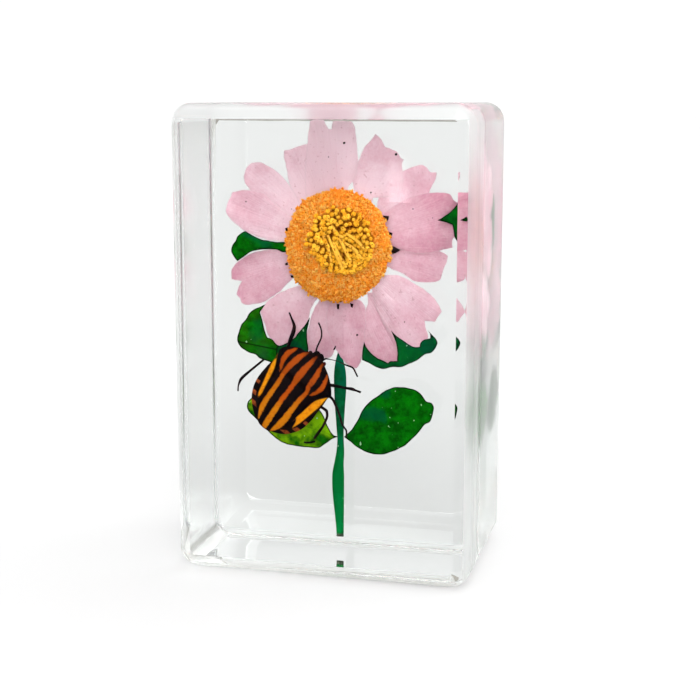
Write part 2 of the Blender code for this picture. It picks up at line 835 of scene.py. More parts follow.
@dataclass(frozen=True)
class PetalFinish:
    """Pink, thin and papery, with veins along the petal and greyer dried patches."""

    pale: Colour = (0.865, 0.693, 0.748)
    pink: Colour = (0.64, 0.325, 0.415)
    dried: Colour = (0.70, 0.62, 0.64)
    fleck: Colour = (0.55, 0.33, 0.37)
    thinness: float = 0.5
    roughness: float = 0.75
    vein_stretch: Spot = (60.0, 0.02)
    vein_flush: Fade = (0.55, 0.75, 0.0, 0.22)
    tip_flush: Fade = (55.0, 112.0, 0.0, 0.3)
    rim_dryness: Fade = (0.1, 1.2, 0.4, 0.0)
    patches: Mottle = Mottle(260.0, (0.35, 0.65, -0.13, 0.15))
    blotches: Mottle = Mottle(850.0, (0.34, 0.66, -0.07, 0.09), 3.0, 0.65)
    mealiness: Mottle = Mottle(3200.0, (0.34, 0.68, -0.08, 0.10), 2.0, 0.7)
    dryness: Mottle = Mottle(420.0, (0.56, 0.72, 0.0, 0.12), 4.0, 0.6)
    flecks: Mottle = Mottle(2600.0, (0.66, 0.74, 0.0, 0.55), 1.0, 0.6)

    def build(self) -> Material:
        """Make the material.

        Returns:
            The material.
        """
        graph = NodeGraph("pink_petal")
        turn, reach = graph.grain()
        wide, long = self.vein_stretch
        stretched = graph.joined(graph.product(turn, wide), graph.product(reach, long))
        veins = graph.noise(1.0, 4.0, 0.6, stretched)
        share = graph.chained(
            "ADD",
            graph.mottle(self.patches),
            graph.attribute("tint"),
            graph.mottle(self.blotches),
            graph.ramp(reach, *self.tip_flush),
            graph.mottle(self.mealiness),
        )
        colour = graph.blend(self.pale, self.pink, share)
        colour = graph.blend(colour, self.pink, graph.ramp(veins, *self.vein_flush))
        colour = graph.blend(colour, self.dried, graph.mottle(self.dryness))
        colour = graph.blend(colour, self.fleck, graph.mottle(self.flecks))
        colour = graph.blend(colour, self.dried, graph.ramp(graph.attribute("rim"), *self.rim_dryness))
        normal = graph.bump(veins, 0.5, 0.2 * MM)
        return graph.finish(graph.papery(colour, self.roughness, normal, self.thinness))


@dataclass(frozen=True)
class LeafFinish:
    """Dark dried green with a near-black cut edge, mottled between blue green and yellow green."""

    name: str = "dried_leaf"
    deep: Colour = (0.0008, 0.042, 0.0012)
    bright: Colour = (0.0014, 0.105, 0.0016)
    bluish: Colour = (0.0008, 0.052, 0.018)
    yellowish: Colour = (0.14, 0.32, 0.003)
    edge: Colour = (0.002, 0.008, 0.002)
    edge_width: float = 1.7
    rib: float = 0.2
    foot: Colour | None = None
    cut: Colour = (0.045, 0.040, 0.036)
    speck: Colour = (0.35, 0.55, 0.35)
    roughness: float = 0.7
    mealiness: Fade = (0.35, 0.68, 0.0, 1.0)
    coolness: Mottle = Mottle(210.0, (0.55, 0.66, 0.0, 0.8), 2.0)
    dryness: Mottle = Mottle(350.0, (0.35, 0.6, 0.0, 1.0))
    specks: Mottle = Mottle(2400.0, (0.82, 0.85, 0.0, 0.5), 0.0)
    foot_fade: Fade = (9.0, 14.0, 0.0, 0.85)
    cut_fade: Fade = (24.15, 24.40, 0.0, 0.9)
    rib_reach: Spot = (0.012, 0.030)
    vein_stretch: float = 7.0
    vein_fade: Fade = (0.60, 0.72, 0.0, 0.35)

    def build(self) -> Material:
        """Make the material.

        Returns:
            The material.
        """
        graph = NodeGraph(self.name)
        along, across = graph.grain()
        mealy = graph.noise(900.0, 5.0, 0.7)
        tint = graph.attribute("tint")
        colour = graph.blend(self.deep, self.bright, graph.ramp(mealy, *self.mealiness))
        colour = graph.blend(colour, self.bluish, graph.maths("SUBTRACT", graph.mottle(self.coolness), tint))
        colour = graph.blend(colour, self.yellowish, graph.product(tint, graph.mottle(self.dryness)))
        if self.foot:
            colour = graph.blend(colour, self.foot, graph.ramp(across, *self.foot_fade))
            colour = graph.blend(colour, self.cut, graph.ramp(across, *self.cut_fade))
        middle = graph.ramp(graph.maths("ABSOLUTE", across), *self.rib_reach, self.rib, 0.0)
        colour = graph.blend(colour, self.edge, middle)
        stretched = graph.joined(along, graph.product(across, self.vein_stretch))
        veins = graph.noise(1.0, 3.0, 0.6, stretched)
        colour = graph.blend(colour, self.edge, graph.ramp(veins, *self.vein_fade))
        colour = graph.blend(colour, self.speck, graph.mottle(self.specks))
        rim = graph.ramp(graph.attribute("rim"), 0.5, self.edge_width, 1.0, 0.0)
        colour = graph.blend(colour, self.edge, rim)
        return graph.finish(graph.opaque(colour, self.roughness, graph.bump(mealy, 0.4, 0.3 * MM)))


@dataclass(frozen=True)
class FloretFinish:
    """Grainy floret colour, with a tint for each floret, and painted shade where the mesh marks hollows and
    shaded sides.
    """

    name: str
    light: Colour
    dark: Colour
    # painted shade: this colour stands in for the shade in floret hollows, at floret feet, under the rod
    # florets and on the strands' far sides
    hollow: Colour
    painted_shade_share: float = 0.8
    thinness: float = 0.3
    roughness: float = 0.6
    zones: Mottle = Mottle(330.0, (0.52, 0.70, 0.0, 0.5))
    specks: Mottle = Mottle(4200.0, (0.60, 0.67, 0.0, 0.8), 1.0)

    def build(self) -> Material:
        """Make the material.

        Returns:
            The material.
        """
        graph = NodeGraph(self.name)
        colour = graph.blend(self.light, self.dark, graph.attribute("tint"))
        colour = graph.blend(colour, self.dark, graph.mottle(self.zones))
        # painted shade, laid on by the share that the mesh carries
        colour = graph.blend(colour, self.hollow, graph.product(graph.attribute("hollow"), self.painted_shade_share))
        colour = graph.blend(colour, self.hollow, graph.mottle(self.specks))
        normal = graph.bump(graph.noise(4000.0, 2.0), 0.3, 0.1 * MM)
        return graph.finish(graph.papery(colour, self.roughness, normal, self.thinness))


@dataclass(frozen=True)
class Stripe:
    """One orange stripe along the bug, as (along, across, width) stations in the bug's own tenths.

    half is the share of the width that lies on each side, and edge is where its soft edge starts and ends.
    """

    stations: tuple[Triple, ...]
    half: float = 0.47
    edge: Spot = (-0.006, 0.008)

    def mask(self, graph: NodeGraph, across: Socket, along: Socket) -> Socket:
        """How far the stripe covers each point.

        Args:
            graph: The material's graph.
            across: The place across the bug.
            along: The place along the bug.

        Returns:
            The mask, from 0 to 1.
        """
        off = graph.off(across, self.curve(graph, along, 1))
        half = graph.product(self.curve(graph, along, 2), self.half)
        return graph.ramp(graph.maths("SUBTRACT", half, off), *self.edge)

    def curve(self, graph: NodeGraph, along: Socket, column: int) -> Socket:
        """A value that follows the stations along the bug.

        Args:
            graph: The material's graph.
            along: The place along the bug.
            column: Which number of each station it takes.

        Returns:
            The value.
        """
        made = graph.node("ShaderNodeFloatCurve", {"Factor": 1.0, "Value": along})
        points = made.mapping.curves[0].points
        while len(points) < len(self.stations):
            points.new(0.5, 0.5)
        for point, station in zip(points, self.stations):
            point.location = (station[0] / BUG_SPAN, station[column] / BUG_SPAN)
        made.mapping.update()
        return made.outputs[0]


class Wear(Enum):
    """How a plate of the bug is coloured."""

    STRIPED = "striped"
    DIM = "striped, and darkened"
    PLAIN = "one colour, without stripes"


@dataclass(frozen=True)
class ShellFinish:
    """Striped cuticle: near-black with orange stripes that turn yellower towards the tail.

    Places are shares of the bug's span: across it from its left, and along it from its head.
    """

    name: str
    wear: Wear = Wear.STRIPED
    stripes: tuple[Stripe, ...] = ()
    black: Colour = (0.003, 0.001, 0.0015)
    front_orange: Colour = (0.31, 0.052, 0.003)
    tail_orange: Colour = (0.47, 0.148, 0.003)
    reddish: Colour = (0.36, 0.048, 0.002)
    stained: Colour = (0.10, 0.018, 0.002)
    dimness: float = 0.75
    wobble: float = 0.022
    middle: float = 0.445
    ridge: float = 0.436
    tail_fade: Fade = (0.36, 0.72, 0.0, 1.0)
    flank_fade: Fade = (0.10, 0.26, 0.0, 0.6)
    flank_start: Spot = (0.40, 0.52)
    ridge_fade: Fade = (0.03, 0.06, 1.0, 0.0)
    ruddy_start: Spot = (0.42, 0.46)
    ruddy_end: Fade = (0.60, 0.68, 1.0, 0.0)
    ruddiness: float = 0.75
    mealiness: Mottle = Mottle(1900.0, (0.45, 0.75, 0.0, 0.6), 3.0, 0.65)
    stains: Mottle = Mottle(800.0, (0.55, 0.78, 0.0, 0.7), 4.0, 0.7)
    stain_fade: Fade = (0.4, 0.6, 1.0, 0.35)
    head_fade: Fade = (0.12, 0.235, 0.12, 1.0)
    rim_fade: Fade = (0.3, 1.3, 0.9, 0.0)

    def orange(self, graph: NodeGraph, across: Socket, along: Socket) -> Socket:
        """The stripes' own colour at each place.

        Args:
            graph: The material's graph.
            across: The place across the bug.
            along: The place along the bug.

        Returns:
            The colour.
        """
        made = graph.blend(self.front_orange, self.tail_orange, graph.ramp(along, *self.tail_fade))
        flank = graph.ramp(graph.off(across, self.middle), *self.flank_fade)
        made = graph.blend(made, self.tail_orange, graph.product(flank, graph.ramp(along, *self.flank_start)))
        ridge = graph.ramp(graph.off(across, self.ridge), *self.ridge_fade)
        ruddy = graph.product(graph.ramp(along, *self.ruddy_start), graph.ramp(along, *self.ruddy_end))
        made = graph.blend(made, self.reddish, graph.product(ridge, ruddy, self.ruddiness))
        made = graph.blend(made, self.reddish, graph.mottle(self.mealiness))
        stains = graph.product(graph.mottle(self.stains), graph.ramp(along, *self.stain_fade))
        made = graph.blend(made, self.stained, stains)
        return graph.blend(self.black, made, graph.ramp(along, *self.head_fade))

    def build(self) -> Material:
        """Make the material.

        Returns:
            The material.
        """
        graph = NodeGraph(self.name)
        across, along = graph.grain()
        shake = graph.product(graph.maths("SUBTRACT", graph.noise(1900.0, 4.0, 0.7), 0.5), self.wobble)
        uneven = graph.maths("ADD", across, shake)
        colour = self.orange(graph, across, along)
        if self.wear is Wear.DIM:
            colour = graph.blend(colour, self.black, self.dimness)
        if self.wear is not Wear.PLAIN:
            cover = graph.highest(*(stripe.mask(graph, uneven, along) for stripe in self.stripes))
            colour = graph.blend(self.black, colour, cover)
        colour = graph.blend(colour, self.black, graph.ramp(graph.attribute("rim"), *self.rim_fade))
        return graph.finish(graph.opaque(colour, 0.45, graph.pits(), 0.03))


@dataclass(frozen=True)
class RimFinish:
    """Black cuticle barred with orange along the bug's two sides, each bar with its half width."""

    left_bars: tuple[Spot, ...] = ((736, 14), (843, 18), (929, 18))
    right_bars: tuple[Spot, ...] = ((764, 16), (871, 20), (957, 18))
    bar_edge: Spot = (-5.0, 7.0)
    middle: float = 540.0
    black: Colour = (0.004, 0.002, 0.002)
    orange: Colour = (0.26, 0.055, 0.012)
    brown: Colour = (0.10, 0.018, 0.006)
    rim_fade: Fade = (3.4, 4.6, 1.0, 0.0)
    mealiness: Mottle = Mottle(1700.0, (0.4, 0.7, 0.0, 1.0))

    def build(self) -> Material:
        """Make the material.

        Returns:
            The material.
        """
        graph = NodeGraph("barred_shell")
        across, along = graph.grain()
        on_right = graph.maths("GREATER_THAN", across, self.middle / BUG_SPAN)
        on_left = graph.maths("SUBTRACT", 1.0, on_right)
        left = graph.product(self.bars(graph, along, self.left_bars), on_left)
        right = graph.product(self.bars(graph, along, self.right_bars), on_right)
        near_rim = graph.ramp(graph.attribute("rim"), *self.rim_fade)
        cover = graph.product(graph.maths("ADD", left, right), near_rim)
        orange = graph.blend(self.orange, self.brown, graph.mottle(self.mealiness))
        colour = graph.blend(self.black, orange, cover)
        return graph.finish(graph.opaque(colour, 0.45, graph.pits(), 0.03))

    def bars(self, graph: NodeGraph, along: Socket, places: tuple[Spot, ...]) -> Value:
        """Bars at given places along the bug.

        Args:
            graph: The material's graph.
            along: The place along the bug.
            places: The middle and half width of each bar.

        Returns:
            The mask, from 0 to 1.
        """
        inner, outer = self.bar_edge
        masks = []
        for centre, half in places:
            off = graph.off(along, centre / BUG_SPAN)
            masks.append(graph.ramp(off, (half + inner) / BUG_SPAN, (half + outer) / BUG_SPAN, 1.0, 0.0))
        return graph.highest(*masks)


@dataclass(frozen=True)
class LimbFinish:
    """Dark brown-black, slightly uneven, for legs, antennae and dried bracts."""

    name: str
    dark: Colour = (0.004, 0.002, 0.003)
    brown: Colour = (0.020, 0.007, 0.007)

    def build(self) -> Material:
        """Make the material."""
        graph = NodeGraph(self.name)
        mealy = graph.noise(1400.0, 3.0)
        colour = graph.blend(self.dark, self.brown, graph.ramp(mealy, 0.4, 0.7))
        return graph.finish(graph.opaque(colour, 0.5, graph.bump(mealy, 0.4, 0.1 * MM), 0.03))


# ---------- The casting ----------


@dataclass
class ResinCasting:
    """The clear block: bevelled round its front, rounded at its back rim and its four corners."""

    corner_radius: float = 2.5 * MM
    bevel_width: float = 0.95 * MM
    bevel_angle: float = math.radians(25.0)
    front_radius: float = 1.6 * MM
    back_radius: float = 0.4 * MM
    corner_steps: int = 20
    edge_steps: int = 16
    sharp_degrees: float = 7.0
    low: Sequence[float] = field(default_factory=lambda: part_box(CAST_NODE)[0])
    high: Sequence[float] = field(default_factory=lambda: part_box(CAST_NODE)[1])

    def sections(self) -> list[Spot]:
        """The block's profile from its front face to its back face.

        Returns:
            Insets from the outer walls, each with its depth behind the front face.
        """
        full_depth = self.high[1] - self.low[1]
        bevel_depth = self.bevel_width * math.tan(self.bevel_angle)
        round_inset = self.front_radius * (1.0 - math.sin(self.bevel_angle))
        found = [(round_inset + self.bevel_width, 0.0)]
        for step in range(self.edge_steps + 1):
            tilt = self.bevel_angle + (math.pi / 2 - self.bevel_angle) * step / self.edge_steps
            inset = self.front_radius * (1.0 - math.sin(tilt))
            rounding = self.front_radius * (math.cos(self.bevel_angle) - math.cos(tilt))
            found.append((inset, bevel_depth + rounding))
        for step in range(self.edge_steps + 1):
            turn = math.pi / 2 * step / self.edge_steps
            inset = self.back_radius * (1.0 - math.cos(turn))
            found.append((inset, full_depth - self.back_radius * (1.0 - math.sin(turn))))
        return found

    def ring(self, bm: BMesh, inset: float, depth: float) -> Vertices:
        """One rounded rectangle round the block.

        Args:
            bm: The bmesh that it is added to.
            inset: How far it lies inside the outer walls.
            depth: How far it lies behind the front face.

        Returns:
            Its vertices, in order.
        """
        radius = self.corner_radius - inset
        reach_x = (self.high[0] - self.low[0]) / 2 - self.corner_radius
        reach_z = (self.high[2] - self.low[2]) / 2 - self.corner_radius
        middle_x = (self.high[0] + self.low[0]) / 2
        middle_z = (self.high[2] + self.low[2]) / 2
        spots = []
        for corner, (side_x, side_z) in enumerate(((1, 1), (-1, 1), (-1, -1), (1, -1))):
            for step in range(self.corner_steps + 1):
                turn = math.pi / 2 * (corner + step / self.corner_steps)
                across = middle_x + side_x * reach_x + radius * math.cos(turn)
                up = middle_z + side_z * reach_z + radius * math.sin(turn)
                spots.append(bm.verts.new((across, self.low[1] + depth, up)))
        return spots

    def build(self) -> None:
        """Make the casting in place of the plain one, with flat faces and smooth rounds."""
        bm = bmesh.new()
        rings = [self.ring(bm, inset, depth) for inset, depth in self.sections()]
        add_walls(bm, rings)
        bm.faces.new(rings[0])
        bm.faces.new(rings[-1])
        mesh = mesh_from(bm, "clear_casting", self.sharp_degrees)
        piece = finished_object("clear_casting", mesh, ResinFinish().build())
        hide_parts(CAST_NODE)


# ---------- The daisy ----------


@dataclass(frozen=True)
class PetalShape:
    """One petal: its depth in the block in millimetres, how pink it is, and its outline in the picture."""

    name: str
    depth: float
    tint: float
    spots: tuple[Spot, ...]


PETALS = (
    PetalShape("petal_top", 6.95, -0.42, (
        (309, 128), (310, 121.5), (313, 119.5), (324, 120), (326, 125), (328.5, 129), (331.5, 129),
        (333, 121.5), (337, 120.8), (352, 121.5), (355, 128), (356.5, 140), (358, 158), (356, 174),
        (352, 182), (349, 187), (346, 198), (338, 204), (318, 204), (306, 196), (305, 170), (307, 146),
        (308, 135),
    )),
    PetalShape("petal_upper_left", 7.35, -0.15, (
        (284, 158), (284, 150.5), (291, 149), (297, 147), (304, 144.5), (318, 143.5), (334, 148),
        (343, 162), (344, 185), (332, 206), (312, 212), (301, 210), (298, 202), (295, 195), (290, 186),
        (287.5, 176), (286, 166),
    )),
    PetalShape("petal_left_high", 7.45, -0.08, (
        (247, 167), (250.5, 163.5), (256, 162.3), (262, 162.5), (268, 166), (275, 170), (281, 175.5),
        (287, 182), (293, 190), (298, 198), (304, 208), (298, 218), (290, 222), (270, 212), (256, 200),
        (250, 190), (245.5, 184), (244, 177), (245, 171),
    )),
    PetalShape("petal_left", 7.05, 0.1, (
        (232.5, 192), (241, 190), (250, 190), (258, 191.5), (266, 194), (274, 202), (281, 208.5),
        (290, 215), (300, 226), (298, 240), (284, 241.5), (270, 240.5), (256, 236), (245, 231), (236, 224),
        (229.5, 218), (226, 210.5), (228, 202), (231, 196),
    )),
    PetalShape("petal_left_low", 7.25, 0.42, (
        (231.5, 271), (235, 265), (240, 260), (250, 254), (263, 250.5), (282, 249), (296, 254), (301, 268),
        (296, 275), (288, 283), (281, 290.5), (272, 297), (264, 302), (256, 303.5), (246, 305), (241, 303),
        (240, 298), (237, 294.5), (238.5, 287), (242, 281), (237, 280.5), (231.5, 279),
    )),
    PetalShape("petal_bottom_left", 7.1, 0.2, (
        (261, 312), (266, 303), (274, 296), (283, 291), (293, 287.5), (303, 285), (314, 291), (318, 298),
        (313.5, 304), (310, 312), (308, 323), (302, 336), (293, 344), (283, 348), (276, 344), (270, 337.5),
        (267, 331), (264, 322),
    )),
    PetalShape("petal_bottom_middle", 7.4, 0.3, (
        (320, 299), (327, 294), (338, 296), (346, 305), (347, 322), (342, 340), (336, 348), (332, 356),
        (326, 358), (316, 354), (308, 350), (306, 340), (309, 325), (313, 312),
    )),
    PetalShape("petal_bottom", 7.15, 0.42, (
        (330, 300), (344, 296), (358, 299), (364.5, 305), (366, 322), (364, 340), (362.5, 352), (361, 361),
        (357, 368), (352, 367), (345, 362), (339, 354), (334, 346), (328, 332), (326, 314),
    )),
    PetalShape("petal_lower_right_inner", 7.45, 0.3, (
        (367.5, 304), (367, 293), (380, 292), (392, 304), (398, 322), (400, 342), (398, 358), (394, 366),
        (388, 365), (379, 360.5), (371, 354), (364, 345), (361, 330), (363, 316),
    )),
    PetalShape("petal_lower_right", 7.1, 0.15, (
        (372, 288), (380, 277), (391, 274.5), (400, 276), (408, 279.5), (416, 284.5), (425, 290),
        (432, 296), (438, 303.5), (441.5, 311.5), (438, 317), (435, 321.5), (425, 321), (425.5, 327),
        (428.5, 337), (424, 343), (416, 350), (404, 346), (394, 338), (384, 324), (376, 306),
    )),
    PetalShape("petal_right_low", 7.4, 0.42, (
        (378, 244), (396, 242), (420, 246), (438, 250.5), (444, 253), (448, 256), (447, 261), (444.5, 267),
        (442, 274), (440, 280), (434, 282), (426, 282.5), (414, 281), (404, 274.5), (392, 269), (382, 262),
    )),
    PetalShape("petal_right", 7.0, 0.55, (
        (384, 214), (400, 202), (414, 196), (428, 193), (440, 192.7), (450, 194), (453.5, 200), (460, 204),
        (464, 214), (462, 228), (456, 236), (452.5, 240), (452.5, 248), (444, 249.5), (437, 251.5),
        (420, 254), (400, 250), (386, 242), (380, 228),
    )),
    PetalShape("petal_right_high", 7.4, 0.15, (
        (377.5, 208), (379, 197), (388, 188), (401, 171.5), (406, 169.5), (415, 166), (423, 164.8),
        (427, 168), (430, 172), (436.5, 172.8), (436, 178), (431.5, 187), (426, 198), (414, 212),
        (398, 224), (384, 222),
    )),
    PetalShape("petal_upper_right", 7.15, 0.0, (
        (350, 178), (359, 159), (362, 152), (366, 145), (371, 140), (375.5, 134), (381, 139), (385, 147),
        (391, 149), (397, 152), (401, 158), (404, 159.5), (402, 164), (402.5, 176), (402, 190), (393, 196),
        (381, 197.5), (373.5, 197.5), (371, 206), (366, 208), (358, 200), (354, 190), (352.5, 182),
    )),
)

BRACTS = (
    ((383, 215.5), (389, 216), (388.5, 219.5), (386, 222.5), (384, 219)),
    ((389, 232), (392.5, 233), (392, 235.5), (389, 236)),
    ((386, 245.5), (391, 245.5), (396, 247.5), (400.5, 250), (396, 253), (392.5, 254), (390, 249)),
    ((285, 228), (289, 227.5), (294, 228.5), (293.5, 231.5), (289.5, 231), (286, 231.5)),
    ((286.5, 251.5), (291, 251), (290.5, 254.5), (286.5, 254)),
    ((284.5, 264), (287.5, 262), (288, 265), (286, 265.5)),
    ((290.5, 275), (294, 275.5), (297.5, 273), (298, 275.5), (294, 278), (291, 277.5)),
    ((339, 298), (343, 298.5), (342, 302), (339.5, 302.5)),
    ((336.5, 304), (339.5, 304), (339, 309.5), (337.2, 309)),
    ((350, 303), (353.5, 304), (352.5, 308), (351, 307)),
)

SPECKS = (
    (344.3, 143.0, 1.3), (396.0, 154.4, 1.4), (357.2, 335.0, 1.2), (328.5, 157.0, 0.7), (246.0, 201.5, 0.8),
    (413.0, 209.0, 0.7), (404.5, 322.0, 0.6), (291.5, 209.0, 0.5), (432.5, 218.0, 0.5), (371.0, 192.5, 0.9),
)

STRANDS = (
    ((327.5, 235.0), (344.5, 274.0)), ((321.0, 231.0), (331.5, 262.0)), ((332.0, 225.0), (343.5, 238.0)),
    ((346.0, 233.5), (364.0, 249.0)), ((339.5, 238.0), (351.5, 262.0)), ((333.5, 243.0), (346.5, 267.5)),
    ((345.0, 243.0), (361.5, 259.0)),
)


@dataclass
class Daisy:
    """The pink flower: separate petals round a domed disc of orange and yellow florets."""

    centre: Spot = (338.0, 245.5)
    disc_radius: float = 54.0
    disc_stretch: float = 1.075
    outline_steps: int = 40
    heart: Spot = (341.5, 240.5)
    heart_radius: float = 31.0
    matted: Spot = (347.0, 248.0)
    matted_radius: float = 24.0
    matted_core: float = 0.6
    disc_depth: float = 6.9 * MM
    dome_height: float = 1.9 * MM
    dome_share: float = 0.93
    bed_bumps: float = 0.10 * MM
    strand_steps: int = 5
    strand_width: float = 4.0
    strand_bow: float = 1.6
    strand_lift: float = 0.70 * MM
    strand_sway: float = 0.06 * MM
    calyx_radius: float = 46.0
    calyx_depth: float = 7.75 * MM
    calyx_swell: float = 1.7 * MM
    petal_thickness: float = 0.06 * MM
    ripple: float = 0.16 * MM
    bract_depth: float = 6.2 * MM
    bract_thickness: float = 0.12 * MM
    speck_depth: float = 6.55 * MM
    speck_thickness: float = 0.06 * MM
    speck_sides: int = 7

    def polar(self, across: float, down: float) -> Spot:
        """Turn about the disc's centre and distance from it, as grain for the veins."""
        off_x = across - self.centre[0]
        off_y = down - self.centre[1]
        return math.atan2(off_y, off_x), math.hypot(off_x, off_y)

    def petal_relief(self, salt: float) -> Relief:
        """Folds that run out from the disc, a slow wave and a slight upturn.

        Args:
            salt: Number that picks the folds and the wave.

        Returns:
            The petal's relief.
        """

        def relief(across: float, down: float) -> float:
            """Height of the petal at a picture point."""
            turn, reach = self.polar(across, down)
            folds = math.sin(turn * 23.0 + salt * 2.1) * 0.35
            wave = wander(across, down, 34.0, salt)
            creases = wander(turn * 90.0, reach * 0.25, 9.0, salt + 4.0) * 0.4
            grown = smoothstep(40.0, 90.0, reach)
            return self.ripple * (folds + wave + creases) * (0.35 + 0.65 * grown)

        return relief

    def build_petals(self) -> None:
        """Cut and lay every petal."""
        finish = PetalFinish().build()
        for index, shape in enumerate(PETALS):
            pillow = Pillow(
                shape.spots,
                shape.depth * MM,
                self.petal_thickness,
                self.petal_thickness,
                edge=1.6,
                spacing=2.1,
                relief=self.petal_relief(index * 3.7),
                grain=self.polar,
                ragged=0.6,
                salt=index * 1.9,
                tint=shape.tint,
            )
            finished_object(shape.name, pillow.mesh(shape.name), finish)

    def build_bracts(self) -> None:
        """Lay the dark dried tips that show between the disc and the petals."""
        bm = bmesh.new()
        thickness = self.bract_thickness
        for spots in BRACTS:
            Pillow(spots, self.bract_depth, thickness, thickness, edge=1.5, spacing=1.6).add_to(bm)
        mesh = mesh_from(bm, "dark_bracts")
        finished_object("dark_bracts", mesh, LimbFinish("dark_bract").build())

    def build_calyx(self) -> None:
        """Cup the flower's back with its pale dried green calyx."""
        cup = Pillow(
            self.disc_outline(self.calyx_radius, 0.06),
            self.calyx_depth,
            0.05 * MM,
            self.calyx_swell,
            edge=self.calyx_radius * 0.8,
            spacing=2.6,
            grain=self.polar,
        )
        finish = LeafFinish(
            "dried_calyx",
            deep=(0.10, 0.20, 0.08),
            bright=(0.22, 0.34, 0.15),
            bluish=(0.10, 0.20, 0.14),
            edge=(0.06, 0.10, 0.05),
        )
        finished_object("calyx", cup.mesh("calyx"), finish.build())

    def build_specks(self) -> None:
        """Lay the few dark specks of dried matter that cling to the petals."""
        bm = bmesh.new()
        thickness = self.speck_thickness
        for across, down, size in SPECKS:
            spots = []
            for step in range(self.speck_sides):
                turn = math.tau * step / self.speck_sides
                reach = size * (1.0 + 0.3 * wander(across + step * 3.1, down, 2.0, 8.0))
                spots.append((across + reach * math.cos(turn), down + reach * math.sin(turn)))
            Pillow(spots, self.speck_depth, thickness, thickness, edge=1.0, spacing=0.8).add_to(bm)
        mesh = mesh_from(bm, "dark_specks")
        finished_object("dark_specks", mesh, LimbFinish("dark_speck").build())

    def dome(self, across: float, down: float) -> float:
        """Height of the disc's bed above its plane."""
        rise = (down - self.centre[1]) / self.disc_stretch
        reach = math.hypot(across - self.centre[0], rise) / self.disc_radius
        bed = self.dome_height * math.sqrt(max(0.0, 1.0 - (min(reach, 1.0) * self.dome_share) ** 2))
        return bed + self.bed_bumps * wander(across, down, 7.0, 2.0)

    def disc_outline(self, radius: float, ragged: float) -> list[Spot]:
        """A slightly uneven circle round the disc's centre.

        Args:
            radius: Its radius, in picture pixels.
            ragged: How uneven it is, as a share of its radius.

        Returns:
            Its points.
        """
        spots = []
        for step in range(self.outline_steps):
            turn = 2 * math.pi * step / self.outline_steps
            swell = noise.noise(Vector((math.cos(turn) * 2, math.sin(turn) * 2, 5.0)))
            reach = radius * (1.0 + ragged * swell)
            fall = reach * self.disc_stretch * math.sin(turn)
            spots.append((self.centre[0] + reach * math.cos(turn), self.centre[1] + fall))
        return spots

    def build_strands(self) -> None:
        """Lay the long matted florets that cross the heart of the disc slantwise."""
        bm = bmesh.new()
        for index, ((left, top), (right, bottom)) in enumerate(STRANDS):
            points = []
            for step in range(self.strand_steps + 1):
                share = step / self.strand_steps
                bow = self.strand_bow * math.sin(math.pi * share) * math.sin(index * 2.4)
                across = left + (right - left) * share + bow
                down = top + (bottom - top) * share - bow * 0.6
                width = self.strand_width * (0.75 + 0.35 * math.sin(math.pi * share))
                sway = self.strand_sway * math.sin(index * 1.7 + share * 3.0)
                points.append((across, down, width, self.dome(across, down) + self.strand_lift + sway))
            Stalk(points, self.disc_depth, flatness=0.8, sides=7, step=1.0).add_to(bm)
        mesh = mesh_from(bm, "matted_strands")
        # The third colour is the painted shade on the strands' flanks and backs.
        finish = FloretFinish(
            "matted_strand", (0.92, 0.47, 0.05), (0.76, 0.31, 0.02), (0.22, 0.055, 0.004), 0.9, 0.2
        )
        finished_object("matted_strands", mesh, finish.build())

    def build_disc(self) -> Object:
        """Make the domed bed that the florets grow from.

        Each of its points carries four numbers: whether it lies in the inner patch, whether it faces
        the front, how far its florets are combed over, and how much painted shade darkens it under the rod
        florets.

        Returns:
            The bed's object.
        """
        bed = Pillow(
            self.disc_outline(self.disc_radius - 2.0, 0.05),
            self.disc_depth,
            0.2 * MM,
            0.5 * MM,
            edge=6.0,
            spacing=2.0,
            relief=self.dome,
            grain=self.polar,
        )
        mesh = bed.mesh("disc_bed")
        labels = ("inner", "facing", "lean", "hollow")
        for label in labels:
            mesh.attributes.new(label, "FLOAT", "POINT")
        inner, facing, lean, hollow = (mesh.attributes[label].data for label in labels)
        matted = EYE.point(*self.matted, self.disc_depth, self.dome_height)
        heart = EYE.point(*self.heart, self.disc_depth, self.dome_height)
        scale = EYE.scale(self.disc_depth)
        for index, vertex in enumerate(mesh.vertices):
            place = vertex.co
            off = math.hypot(place.x - matted.x, place.z - matted.z) / scale
            lean[index].value = smoothstep(self.matted_radius, self.matted_radius * self.matted_core, off)
            gap = math.hypot(place.x - heart.x, place.z - heart.z) / scale
            uneven = 3.0 * noise.noise(Vector((place.x * 900, place.z * 900, 1.0)))
            inner[index].value = 1.0 if gap + uneven < self.heart_radius else 0.0
            # painted shade: the bed is darker in the inner patch, under the rod florets
            hollow[index].value = 0.8 * inner[index].value
            facing[index].value = 1.0 if vertex.normal.y < 0.3 else 0.0
        # The third colour is the bed's painted shade.
        finish = FloretFinish(
            "disc_bed", (0.95, 0.36, 0.04), (0.70, 0.20, 0.015), (0.40, 0.13, 0.008), 1.0, 0.2
        )
        return finished_object("disc_bed", mesh, finish.build())


